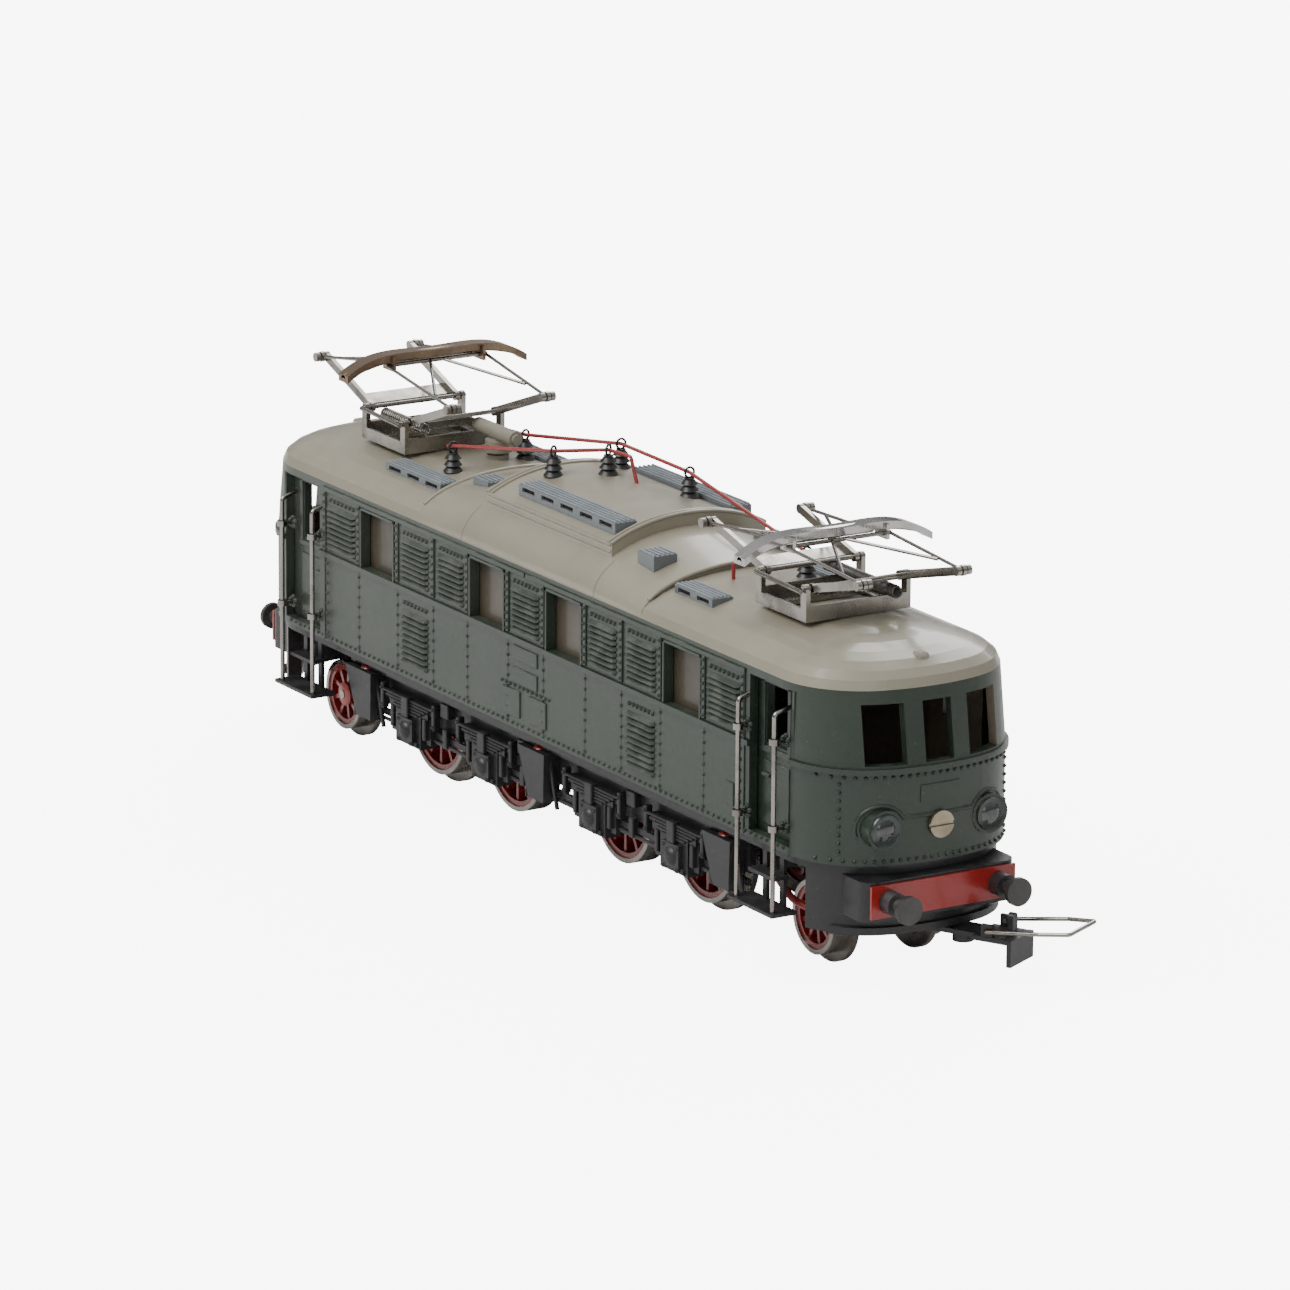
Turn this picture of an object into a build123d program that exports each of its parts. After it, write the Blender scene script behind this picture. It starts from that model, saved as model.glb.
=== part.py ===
from build123d import *
from math import atan2, cos, degrees, pi, radians, sin, sqrt
import os

# H0 model of a six-axle electric locomotive: cast body and roof, black chassis with
# four geared driving axles, two pony trucks, couplers and two folding pantographs.
# +X is the front, +Y the left side, +Z up. z = 0 is the bottom of the wheel flanges.

# ---- body and roof
body_half = 19.0          # half of the body's width
body_low = 20.4           # lower edge of the body
eaves = 48.3              # top edge of the side walls, where the roof starts
nose_front = 95.0         # foremost point of the body below the windows
rake = 1.8                # how far the nose leans back up to the eaves
nose_radius = 34.0        # plan radius of the nose
corner_radius = 14.0      # plan radius between nose and side
wall = 1.5                # wall of the body casting
belt = 36.1               # lower edge of the windows
belt_height = 0.9         # height of the raised belt moulding
belt_proud = 0.45         # how far the belt moulding stands out
window_height = 10.0
roof_wall = 1.3
end_rise = 5.9            # crown of the end roofs over the eaves
mid_rise = 9.3            # crown of the middle roof over the eaves
slope_rise = 6.8          # crown where the sloped middle roof steps down
slope_end = 36.0          # distance from the centre of that step
hood_half_length = 20.0
hood_half = 14.7          # half width of the raised centre hood
hood_rise = 11.4          # crown of the hood over the eaves
hood_spread = 1.6         # how much wider the hood's ellipse is than the roof's
dome_start = 75.0         # where the roof starts to curve down to the nose

# ---- side openings, distances from the centre of the length
side_windows = (12.4, 49.1)
side_window_width = 10.65
front_window_half = 2.6
side_front_window = (5.8, 12.3)
front_window_height = 9.6
door = (69.2, 81.2)       # both doors of a side, from the centre of the length
door_low = 21.6
door_high = 47.0
door_recess = 1.8         # how far the door leaf is set back
door_leaf = 1.4           # thickness of the door leaf
door_window = (71.5, 77.6)
door_window_height = 10.4

# ---- running gear
rail_drop = 1.54          # depth of the flanges
drive_tread = 9.19
pony_tread = 6.06
centre_rise = 8.12        # the centre gear's axis over the driving axles
pony_axle_x = 75.7
back_to_back = 14.0
tyre_width = 3.9
tyre_thick = 0.8          # from the tread in to the wheel centre
flange_width = 1.1
axle_r = 1.0
pony_axle_r = 0.8
running = 0.05            # radial clearance of axles, pins and shafts
gear_module = 0.4
axle_teeth = 36
idler_teeth = 28
centre_teeth = 60
pinion_teeth = 11
gear_face = 1.1
tooth_gap = 0.06          # how far the teeth stop short of the pitch circle
tooth_depth = 0.8
gear_out = 5.5            # inner face of the gears, from the centre plane

# ---- chassis
floor_top = body_low
floor_thick = 1.4
floor_step = 0.8          # how far the floor stands back from the body's sides
floor_nose_step = 1.2     # how far it stands back from the nose
plate_out = 5.2           # outer face of the bearing plates
plate_thick = 1.6
plate_low = 7.5
plate_half_length = 52.0
side_frame_in = 13.6
side_frame_thick = 1.2
side_frame_low = 8.6
side_frame_half_length = 63.0
shoe_guide_x = 24.0
shoe_pin_r = 0.8
shoe_low = 1.3
pilot_length = 10.3
pilot_low = 9.0
pilot_wall = 2.0
beam_reach = 1.4          # how far the buffer beam stands in front of the nose
beam_plate = 0.5
beam_half = 13.4
beam_low = 12.9
beam_high = 18.2
buffer_y = 10.2
buffer_z = 15.5
buffer_length = 6.1
buffer_head_r = 2.3
step_low = 10.2
step_mid = 15.4
tread_thick = 0.6
rail_stand = 1.8          # distance of the handrails from the body's side
rail_r = 0.4
handrail_x = (68.7, 79.3)

# ---- motor
armature_r = 6.8
armature_half = 3.1
air_gap = 0.3
shaft_r = 0.8

# ---- couplers
coupler_inset = 10.4      # coupler pivot behind the nose
coupler_swing = 28.0      # the couplers stand swung to the left side
coupler_pin_r = 1.2
coupler_low = 7.9
coupler_thick = 0.8
bail_wire_r = 0.35
bail_hinge = 17.0         # along the coupler from its pivot
bail_front = 32.0
bail_half = 4.9
bail_z = 9.7
bail_rise = 2.0           # how much higher the bail's front bar stands
finger_z = 11.5

# ---- pony trucks
pony_pivot_x = 57.0
pony_pin_r = 1.2
pony_arm_low = 11.0
pony_arm_thick = 1.2

# ---- pantographs, measured from the centre of the base
pantograph_x = 63.4
base_gap = 0.1            # the base stands on the crown of the end roof
base_half_x = 7.4
base_half_y = 9.8
base_thick = 0.8
member_high = 2.6         # top of the folded cross members
arm_pivot_x = 6.6
arm_pivot_z = 5.3
lower_arm = 16.8
lower_angle = 14.9        # lower arm over the horizontal, latched down
upper_arm = 21.64
upper_angle = 3.4
rear_lift = 5.0           # the rear pantograph stands a little higher
arm_bar_out = 8.7
arm_bar = 0.8
post_out = 9.8
post = 0.8
arm_pin_r = 0.4
eye_outer = arm_pin_r + 0.4  # outer radius of the eyes and bosses around the arm pins
wire_r = 0.28
rod_r = 0.35              # pivot rods of the upper arms
bow_half = 17.6
bow_width = 3.2
bow_thick = 1.2
bow_bracket = 8.5         # inner face of the bow's brackets
spring_r = 1.1            # outer radius of the raising springs
bow_drop = 2.8            # how far the horns of the bow hang down

# ---- lamps, body screws and lamp lead
lamp_y = 9.8
lamp_z = 26.4
lamp_hole_r = 2.2
lamp_ring_r = 3.2
lamp_inset = 1.0          # lamp lenses behind the foremost point of the nose
screw_r = 1.2
screw_head_r = 2.2
screw_head = 0.7
lead_r = 0.6
lead_bends = [1.2, 2.6, 5.0, 4.0, 2.4]

# ---- pieces on the roof
vent_rows = (
    # rear end, front end, distance of the inner edge from the centre, width, height over the
    # roof at the outer edge, openings
    (-55.5, -37.0, 9.9, 3.9, 1.35, 3),
    (-31.5, -26.7, 6.4, 4.2, 0.95, 0),
    (-12.5, 18.2, 8.9, 4.1, 2.0, 5),
    (25.6, 30.6, 8.8, 4.4, 2.3, 0),
    (38.0, 49.4, 9.9, 3.9, 1.35, 2),
)
vent_lip = 0.35
vent_opening = 0.8        # height of the slots
insulator_places = (
    # along, across, heading of the wire through the eye
    (-44.0, -7.3, 2.0), (-46.0, 8.0, 17.0), (-14.0, -5.5, 30.0), (-9.0, 2.1, 32.0), (-14.4, 7.8, 0.0),
    (8.6, 7.0, 0.0), (45.3, 6.5, -7.0),
)
insulator_height = 3.3
eye_r = 0.85
eye_wire_r = 0.2
busbar_r = 0.32
breaker_x = -47.0
breaker_y = 3.2
breaker_r = 1.3
breaker_rise = 4.5        # height of the cylinder over the roof

# ---- worked out
lamp_seat = nose_front - lamp_inset
eaves_front = nose_front - rake
door_leaf_outer = body_half - door_recess
floor_half = body_half - floor_step
floor_front = nose_front - floor_nose_step
pilot_rear = floor_front - pilot_length
beam_front = nose_front + beam_reach
buffer_end = beam_front + buffer_length
rail_out = body_half + rail_stand
coupler_pivot_x = nose_front - coupler_inset
drive_z = rail_drop + drive_tread
pony_z = rail_drop + pony_tread
axle_gear_r = gear_module * axle_teeth / 2
idler_r = gear_module * idler_teeth / 2
centre_r = gear_module * centre_teeth / 2
pinion_r = gear_module * pinion_teeth / 2
inner_axle_x = sqrt((axle_gear_r + centre_r) ** 2 - centre_rise ** 2)
idler_x = inner_axle_x + axle_gear_r + idler_r
outer_axle_x = idler_x + axle_gear_r + idler_r
centre_z = drive_z + centre_rise
motor_z = centre_z + centre_r + pinion_r
drive_axles = (outer_axle_x, inner_axle_x, -inner_axle_x, -outer_axle_x)
floor_low = floor_top - floor_thick
plate_in = plate_out - plate_thick
tyre_back = back_to_back / 2
crown = eaves + end_rise
base_z = crown + base_gap
lead_points = [(64.6, -13.0, floor_low), (64.6, -13.0, 17.2), (69.0, -14.2, 13.8), (76.0, -14.9, 11.2),
               (82.6, -12.8, 9.6), (87.0, -10.0, 12.0), (87.0, -10.0, floor_low)]


def block(x0, x1, y0, y1, z0, z1):
    return Pos((x0 + x1) / 2, (y0 + y1) / 2, (z0 + z1) / 2) * Box(x1 - x0, y1 - y0, z1 - z0)


def rod_x(x0, x1, y, z, r):
    return Pos((x0 + x1) / 2, y, z) * Rot(0, 90, 0) * Cylinder(r, x1 - x0)


def rod_y(x, y0, y1, z, r):
    return Pos(x, (y0 + y1) / 2, z) * Rot(90, 0, 0) * Cylinder(r, y1 - y0)


def rod_z(x, y, z0, z1, r):
    return Pos(x, y, (z0 + z1) / 2) * Cylinder(r, z1 - z0)


def join(shapes):
    """One shape from many that touch or overlap."""
    shapes = list(shapes)
    return shapes[0] + shapes[1:] if len(shapes) > 1 else shapes[0]


def both_sides(shape):
    return [shape, mirror(shape, about=Plane.XZ)]


def both_ends(shape):
    """The shape at the front and its mirror image at the rear."""
    return [shape, mirror(shape, about=Plane.YZ)]


def four_ways(shape):
    """The shape and its mirror images at both sides and both ends."""
    return [copy for side in both_sides(shape) for copy in both_ends(side)]


def save(name, *shapes):
    solids = [solid for shape in shapes for solid in shape.solids()]
    export_step(Compound(children=solids), f"parts/{name}.step")
    return solids


def plan(front, half, scale=1.0):
    """Plan outline with a round nose at each end, shrunk about the two dome starts."""
    front = dome_start + (front - dome_start) * scale
    half = half * scale
    nose = nose_radius * scale
    corner = corner_radius * scale
    centre = front - nose
    corner_y = half - corner
    corner_x = centre + sqrt((nose - corner) ** 2 - corner_y ** 2)
    angle = atan2(corner_y, corner_x - centre)
    tip = (centre + nose * cos(angle), nose * sin(angle))
    half_turn = (angle + pi / 2) / 2
    bend = (corner_x + corner * cos(half_turn), corner_y + corner * sin(half_turn))
    side = (corner_x, half)
    edges = []
    for sign in (1, -1):
        left_tip = (sign * tip[0], sign * tip[1])
        right_tip = (sign * tip[0], -sign * tip[1])
        edges.append(ThreePointArc(right_tip, (sign * front, 0), left_tip))
        edges.append(ThreePointArc((sign * tip[0], sign * tip[1]), (sign * bend[0], sign * bend[1]),
                                   (sign * side[0], sign * side[1])))
        edges.append(Line((sign * side[0], sign * side[1]), (-sign * side[0], sign * side[1])))
        edges.append(ThreePointArc((-sign * side[0], sign * side[1]), (-sign * bend[0], sign * bend[1]),
                                   (-sign * tip[0], sign * tip[1])))
    return make_face(Wire(edges))


def slab(front, half, z0, z1):
    return Pos(0, 0, z0) * extrude(plan(front, half), z1 - z0)


def raked(inset):
    """Cab and sides over the belt: upright sides, noses leaning back to the eaves."""
    low = Pos(0, 0, belt) * plan(nose_front - inset, body_half - inset)
    high = Pos(0, 0, eaves) * plan(eaves_front - inset, body_half - inset)
    return loft([low, high], ruled=True)


def dome(front, half, rise, shrink=0.0):
    """End roof over the whole length: plan outlines that shrink as an ellipse rises."""
    steps = (0.0, 0.25, 0.45, 0.62, 0.76, 0.87, 0.95, 0.99)
    outlines = [Pos(0, 0, eaves + (rise - shrink) * t) * plan(front - shrink, half - shrink, sqrt(1 - t * t))
                for t in steps]
    return loft(outlines, ruled=True)


def arch(x, half, rise):
    """Upright half-elliptic face across the roof."""
    across = Plane(origin=(x, 0, eaves), x_dir=(0, 1, 0), z_dir=(1, 0, 0))
    curve = EllipticalCenterArc((0, 0), half, rise, start_angle=0, arc_size=180)
    return across * make_face([curve, Line((-half, 0), (half, 0))])


def vault(shrink=0.0):
    """Middle roof: level over the hood's length, sloping down towards the end roofs."""
    half = body_half - 0.1 - shrink
    stations = ((-slope_end, slope_rise), (-hood_half_length, mid_rise), (hood_half_length, mid_rise),
                (slope_end, slope_rise))
    return loft([arch(x, half, rise - shrink) for x, rise in stations], ruled=True)


def hood():
    """Raised centre hood: a slice of a larger ellipse with upright long edges."""
    end = hood_half_length
    whole = Pos(-end, 0, 0) * extrude(arch(0, body_half + hood_spread, hood_rise), 2 * end)
    keep = block(-end, end, -hood_half, hood_half, eaves + slope_rise / 2, eaves + 20)
    return whole & keep


def roof_outer():
    return dome(eaves_front, body_half, end_rise) + vault() + hood()


def roof_casting(outer):
    hollow = dome(eaves_front - wall, body_half - wall, end_rise - roof_wall) + vault(wall)
    return outer - hollow


def side_cuts():
    """Windows and door of the front half of the right-hand side."""
    cuts = []
    side_inside = wall + 0.5 - body_half
    door_inside = door_leaf + 1 - door_leaf_outer
    for x in side_windows:
        half = side_window_width / 2
        cuts.append(block(x - half, x + half, -body_half - 1, side_inside, belt, belt + window_height))
    cuts.append(block(*door, -body_half - 1, -door_leaf_outer, door_low, door_high))
    cuts.append(block(*door_window, -body_half, door_inside, belt, belt + door_window_height))
    return cuts


def front_cuts():
    """Three front windows, two lamp holes and the screw hole of the front end."""
    low = belt + belt_height / 2
    cuts = [block(80, nose_front + 2, -front_window_half, front_window_half, low, low + front_window_height)]
    for window in both_sides(block(80, nose_front + 2, *side_front_window, low, low + front_window_height)):
        cuts.append(window)
    for hole in both_sides(rod_x(lamp_seat - 6, nose_front + 2, lamp_y, lamp_z, lamp_hole_r)):
        cuts.append(hole)
    cuts.append(rod_x(nose_front - 4, nose_front + 2, 0, lamp_z, screw_r))
    return cuts


def lamp_rings():
    """Round collars cast around the lamp holes at the front end."""
    return both_sides(rod_x(lamp_seat - 3.5, lamp_seat + 0.5, lamp_y, lamp_z, lamp_ring_r))


def body_casting():
    skin = slab(nose_front, body_half, body_low, belt) + raked(0)
    skin += slab(nose_front + belt_proud, body_half + belt_proud, belt - belt_height, belt)
    hollow = slab(nose_front - wall, body_half - wall, body_low - 1, belt) + raked(wall)
    shell = skin - hollow
    leaf = -door_leaf_outer
    backing = block(door[0] - wall, door[1] + wall, leaf, leaf + door_leaf, body_low, eaves)
    rings = [ring for pair in lamp_rings() for ring in both_ends(pair)]
    inside = slab(nose_front - 0.2, body_half - 0.2, body_low, eaves)
    shell += [solid & inside for solid in four_ways(backing)]
    shell += rings
    cuts = [copy for cut in side_cuts() for copy in four_ways(cut)]
    cuts += [copy for cut in front_cuts() for copy in both_ends(cut)]
    return shell - cuts


# ---- pieces on the roof
def vent(rear, front, inner, width, stand, openings):
    """Flat-topped ventilator with a row of slots under its outer edge."""
    outer_edge = roof_height((rear + front) / 2, inner + width)
    top = outer_edge + stand
    low = outer_edge - 1.6
    shape = block(rear, front, inner, inner + width, low, top)
    pitch = (front - rear) / max(openings, 1)
    for n in range(openings):
        middle = rear + pitch * (n + 0.5)
        shape -= block(middle - pitch * 0.32, middle + pitch * 0.32, inner + width - 0.8, inner + width + 1,
                       top - vent_lip - vent_opening, top - vent_lip)
    return shape


def seated(shape, outer):
    """The piece with its foot cut to the roof's surface."""
    pieces = (shape - outer).solids()
    return max(pieces, key=lambda solid: solid.volume)


def roof_height(x, y):
    """Height of the roof's surface over a point of its plan."""
    end = eaves + end_rise * sqrt(1 - (y / body_half) ** 2)
    if abs(x) >= slope_end:
        return end
    share = min(1.0, (slope_end - abs(x)) / (slope_end - hood_half_length))
    rise = slope_rise + (mid_rise - slope_rise) * share
    if abs(x) <= hood_half_length and abs(y) <= hood_half:
        return eaves + hood_rise * sqrt(1 - (y / (body_half + hood_spread)) ** 2)
    return eaves + rise * sqrt(1 - (y / body_half) ** 2)


def insulator(x, y, heading):
    """Ribbed insulator with an eye for the busbar on top."""
    z = roof_height(x, y)
    shape = rod_z(x, y, z - 1.0, z + insulator_height, 0.8)
    for height, radius in ((0.1, 1.7), (1.2, 1.55), (2.3, 1.4)):
        shape += Pos(x, y, z + height + 0.3) * Cone(radius, radius - 0.5, 0.7)
    ring = Rot(0, 0, heading) * Rot(0, 90, 0) * Torus(eye_r, eye_wire_r)
    return shape + Pos(x, y, z + insulator_height + eye_r) * ring


def eye_height(x, y):
    return roof_height(x, y) + insulator_height + eye_r


def wire(points, radius, bends):
    """Round wire of straight runs joined by tangent arcs."""
    path = FilletPolyline(*points, radius=bends)
    section = Plane(origin=path @ 0, z_dir=path % 0) * Circle(radius)
    return sweep(section, path=path)


def eye_point(n):
    x, y, heading = insulator_places[n]
    return (x, y, eye_height(x, y))


def busbars():
    """Wires through the insulators' eyes, between the breaker and the pantographs."""
    near = [(-45.2, -7.6, eye_point(0)[2] + 0.05), eye_point(2), eye_point(3), (-3.2, 2.9, eye_point(3)[2]),
            (-1.6, 3.2, roof_height(-1.6, 3.2) - 0.3)]
    far = [(breaker_x - 3.6, breaker_y + breaker_r + 0.3, breaker_top()),
           eye_point(1), eye_point(4), eye_point(5),
           (37.0, 7.6, eye_point(6)[2] + 0.35), eye_point(6), (48.6, 6.2, eye_point(6)[2])]
    post = [(41.0, -4.6, roof_height(41.0, -4.6) - 0.3), (41.0, -4.6, base_z + 2.6),
            (41.6, 4.9, eye_point(6)[2] - 1.6)]
    return [wire(near, busbar_r, 0.6), wire(far, busbar_r, 0.6), wire(post, busbar_r, 0.8)]


def breaker_top():
    return roof_height(breaker_x, breaker_y) + breaker_rise


def breaker():
    """Main breaker: a stack of discs carrying a lying cylinder."""
    z = roof_height(breaker_x, breaker_y)
    axis = breaker_top()
    shape = rod_z(breaker_x, breaker_y, z - 1.0, axis - 1.0, 1.1)
    for height, radius in ((0.0, 1.9), (1.3, 2.5), (2.5, 2.2)):
        shape += rod_z(breaker_x, breaker_y, z + height, z + height + 0.8, radius)
    shape += rod_x(breaker_x - 6.6, breaker_x + 6.0, breaker_y, axis, breaker_r)
    shape += rod_x(breaker_x - 7.2, breaker_x + 6.6, breaker_y, axis, breaker_r - 0.4)
    return shape


# ---- running gear
def gear(teeth, x, z, bore):
    """Spur gear whose teeth stop just short of the pitch circle."""
    pitch = gear_module * teeth / 2
    tip = pitch - tooth_gap
    root = tip - tooth_depth
    points = []
    for n in range(teeth):
        for share, radius in ((0.0, root), (0.22, root), (0.36, tip), (0.86, tip)):
            angle = 2 * pi * (n + share) / teeth
            points.append((radius * cos(angle), radius * sin(angle)))
    blank = extrude(make_face(Polyline(*points, close=True)), gear_face)
    return Pos(x, -gear_out, z) * Rot(90, 0, 0) * blank - rod_y(x, -20, 20, z, bore)


def tyre(x, z, tread, inner, flanged=True):
    """Turned tyre with its flange to the inside, on the left wheel."""
    shape = rod_y(x, tyre_back, tyre_back + tyre_width, z, tread)
    if flanged:
        shape += rod_y(x, tyre_back, tyre_back + flange_width, z, tread + rail_drop)
    return shape - rod_y(x, 0, 20, z, inner)


def wheel_centre(x, z, inner, hub, spokes, bore):
    """Spoked wheel centre of the left wheel, pressed on its axle."""
    y0 = tyre_back + 0.5
    y1 = tyre_back + tyre_width - 0.3
    rim = rod_y(x, y0, y1, z, inner) - rod_y(x, 0, 20, z, inner - 0.9)
    shape = rim + rod_y(x, y0, y1 + 0.2, z, hub)
    for n in range(spokes):
        spoke = block(0, inner - 0.5, y0 + 0.8, y1 - 0.4, -0.35, 0.35)
        shape += Pos(x, 0, z) * Rot(0, 360 * n / spokes, 0) * spoke
    return shape - rod_y(x, 0, 20, z, bore)


def drive_set(number, x):
    """One geared driving wheelset: centres, tyres and axle with its gear."""
    flanged = abs(x) > inner_axle_x + 1
    inner = drive_tread - tyre_thick
    save(f"drive_wheels_{number}", *both_sides(wheel_centre(x, drive_z, inner, 2.1, 12, axle_r)))
    save(f"drive_tyres_{number}", *both_sides(tyre(x, drive_z, drive_tread, inner, flanged)))
    axle = rod_y(x, -11.2, 11.2, drive_z, axle_r)
    save(f"drive_axle_{number}", axle, gear(axle_teeth, x, drive_z, axle_r))


def pony_set(name, x):
    """One carrying wheelset of a pony truck."""
    inner = pony_tread - tyre_thick
    save(f"pony_wheels_{name}", *both_sides(wheel_centre(x, pony_z, inner, 1.9, 9, pony_axle_r)))
    axle = rod_y(x, -11.2, 11.2, pony_z, pony_axle_r)
    save(f"pony_axle_{name}", axle, *both_sides(tyre(x, pony_z, pony_tread, inner)))


def pony_truck(name):
    """Swivelling arm with the bearing block of the carrying axle."""
    x0 = pony_pivot_x
    top = pony_arm_low + pony_arm_thick
    arm = block(x0, pony_axle_x + 3, -3.4, 3.4, pony_arm_low, top) + rod_z(x0, 0, pony_arm_low, top, 3.4)
    bearing = block(pony_axle_x - 2.6, pony_axle_x + 2.6, -5.6, 5.6, pony_z - 2.2, top)
    shape = arm + bearing
    shape -= rod_y(pony_axle_x, -7, 7, pony_z, pony_axle_r + running)
    shape -= rod_z(x0, 0, 0, 20, pony_pin_r + running)
    if name == "rear":
        shape = mirror(shape, about=Plane.YZ)
    save(f"pony_truck_{name}", shape)


# ---- chassis
def chassis_frame():
    """Floor, bearing plates, distance blocks and the pins that the moving pieces turn on."""
    floor = slab(floor_front, floor_half, floor_low, floor_top)
    floor -= block(-14, 14, -7.1, 6.6, 0, 30)
    for x in drive_axles:
        half = drive_tread + rail_drop + 0.6
        slot_out = tyre_back + tyre_width + 0.7
        for slot in both_sides(block(x - half, x + half, plate_out + 0.1, slot_out, 0, 30)):
            floor -= slot
    plate = block(-plate_half_length, plate_half_length, plate_in, plate_out, plate_low, floor_top)
    plate += block(-13, 13, plate_in, plate_out, plate_low, motor_z + 7)
    shape = floor + both_sides(plate)
    for x in (-shoe_guide_x, shoe_guide_x):
        shape += block(x - 3, x + 3, -plate_in, plate_in, 8, 15)
    for x in (-49, 49):
        shape += block(x - 3, x + 3, -plate_in, plate_in, 8, floor_top)
    for x, z in ((idler_x, drive_z), (-idler_x, drive_z), (0, centre_z)):
        shape += rod_y(x, -gear_out - gear_face - 0.25, -plate_in, z, axle_r)
    for end in both_ends(end_fittings()):
        shape += end
    for x in drive_axles:
        shape -= rod_y(x, -8, 8, drive_z, axle_r + running)
    shape -= rod_y(0, -8, 8, motor_z, shaft_r + running)
    for x in (-shoe_guide_x, shoe_guide_x):
        shape -= rod_z(x, 0, 0, 30, shoe_pin_r + running)
    return shape


def end_fittings():
    """Pins of the pony truck and the coupler, and the lug of the body screw, at the front."""
    pony_pin = rod_z(pony_pivot_x, 0, pony_arm_low - 1.2, floor_low + 0.2, pony_pin_r)
    pony_head = rod_z(pony_pivot_x, 0, pony_arm_low - 1.2, pony_arm_low - 0.3, pony_pin_r + 1)
    coupler_pin = rod_z(coupler_pivot_x, 0, coupler_low - 1.1, floor_low + 0.2, coupler_pin_r)
    coupler_head = rod_z(coupler_pivot_x, 0, coupler_low - 1.1, coupler_low - 0.2, coupler_pin_r + 0.9)
    lug = block(nose_front - 8.5, nose_front - 6.0, -3.2, 3.2, floor_top - 0.2, lamp_z + 2.6)
    lug -= rod_x(nose_front - 10, nose_front, 0, lamp_z, screw_r)
    return pony_pin + pony_head + coupler_pin + coupler_head + lug


def pickup_shoe():
    """Long contact shoe under the chassis, carried on two guide pins."""
    blade = block(-26, 26, -1.6, 1.6, shoe_low, shoe_low + 0.5)
    for end in both_ends(Pos(26, 0, shoe_low) * Rot(0, -20, 0) * block(-0.2, 6, -1.6, 1.6, 0, 0.5)):
        blade += end
    for x in (-shoe_guide_x, shoe_guide_x):
        blade += rod_z(x, 0, shoe_low + 0.2, 14.5, shoe_pin_r)
    return blade


def side_frame():
    """Outer frame of the right-hand side with axleboxes, springs and sandboxes."""
    out = side_frame_in + side_frame_thick
    half = side_frame_half_length
    shape = block(-half, half, -out, -side_frame_in, side_frame_low + 3.4, floor_low)
    shape += block(-half, half, -out - 1.6, -side_frame_in + 1.6, floor_low - 1.4, floor_low)
    for x in drive_axles:
        shape += block(x - 4.2, x + 4.2, -out - 1.8, -side_frame_in, side_frame_low - 1.2, drive_z + 2.6)
        shape += block(x - 2.6, x + 2.6, -out - 2.6, -side_frame_in, side_frame_low - 0.4, drive_z + 1.6)
        shape += block(x - 8.6, x + 8.6, -out - 1.4, -out + 0.2, drive_z + 3.2, drive_z + 4.4)
        shape += block(x - 6.4, x + 6.4, -out - 1.7, -out + 0.2, drive_z + 2.4, drive_z + 3.5)
        shape += block(x - 6.6, x - 5.2, -out - 1.2, -side_frame_in, side_frame_low, drive_z + 3.4)
        shape += block(x + 5.2, x + 6.6, -out - 1.2, -side_frame_in, side_frame_low, drive_z + 3.4)
    for x in (-57.8, 0.0, 57.8):
        shape += sandbox(x, out)
    shape += block(-half, half, -out - 0.3, -out + 0.4, side_frame_low + 1.4, side_frame_low + 2.4)
    return shape


def sandbox(x, out):
    """Box that narrows towards its foot."""
    top = Pos(x, -out - 1.2, floor_low - 1.6) * Rectangle(8.6, 4.0)
    foot = Pos(x, -out - 0.9, side_frame_low) * Rectangle(4.8, 2.6)
    return loft([foot, top], ruled=True)


def pilot():
    """Cast skirt under the front nose with the block that carries the buffer beam."""
    shape = slab(floor_front, floor_half - 0.2, pilot_low, floor_low)
    shape -= slab(floor_front - pilot_wall, floor_half - 0.2 - pilot_wall, pilot_low - 1, floor_low + 1)
    shape &= block(pilot_rear, 120, -30, 30, 0, 30)
    lip = slab(floor_front + 0.7, floor_half + 0.4, pilot_low, pilot_low + 1.2)
    lip -= slab(floor_front - pilot_wall, floor_half - 0.2 - pilot_wall, pilot_low - 1, floor_low + 1)
    shape += lip & block(pilot_rear + 4.5, 120, -30, 30, 0, 30)
    middle_x = (floor_front - 8 + beam_front - beam_plate) / 2
    outline = RectangleRounded(beam_front - beam_plate - floor_front + 8, 2 * beam_half + 1.6, 2.4)
    carrier = Pos(middle_x, 0, beam_low - 0.7) * extrude(outline, beam_high - beam_low + 1.2)
    inside = slab(floor_front - pilot_wall, floor_half - 0.2 - pilot_wall, pilot_low - 1, floor_low + 1)
    return shape + (carrier - inside)


def buffer_beam():
    return block(beam_front - beam_plate, beam_front, -beam_half, beam_half, beam_low, beam_high)


def buffer_pair():
    """Turned buffers of the front end: housing, neck and flat head."""
    shapes = []
    for y in (-buffer_y, buffer_y):
        shape = rod_x(beam_front, beam_front + 2.6, y, buffer_z, 1.9)
        shape += rod_x(beam_front + 2.6, buffer_end - 0.8, y, buffer_z, 1.15)
        shape += rod_x(buffer_end - 0.9, buffer_end, y, buffer_z, buffer_head_r)
        shapes.append(shape)
    return shapes


def steps():
    """Two treads under the front right-hand door, on two straps."""
    x0, x1 = handrail_x
    inner = -floor_half + 1.2
    shape = block(x0 - 1.2, x1 + 1.2, -rail_out - 0.9, inner, step_low, step_low + tread_thick)
    shape += block(x0 + 2.0, x1 - 1.2, -rail_out + 0.8, inner, step_mid, step_mid + tread_thick)
    for x in (x0 + 2.6, x1 - 3.0):
        shape += block(x, x + 1.2, inner - 0.6, inner, step_low, floor_low)
    return shape


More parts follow.
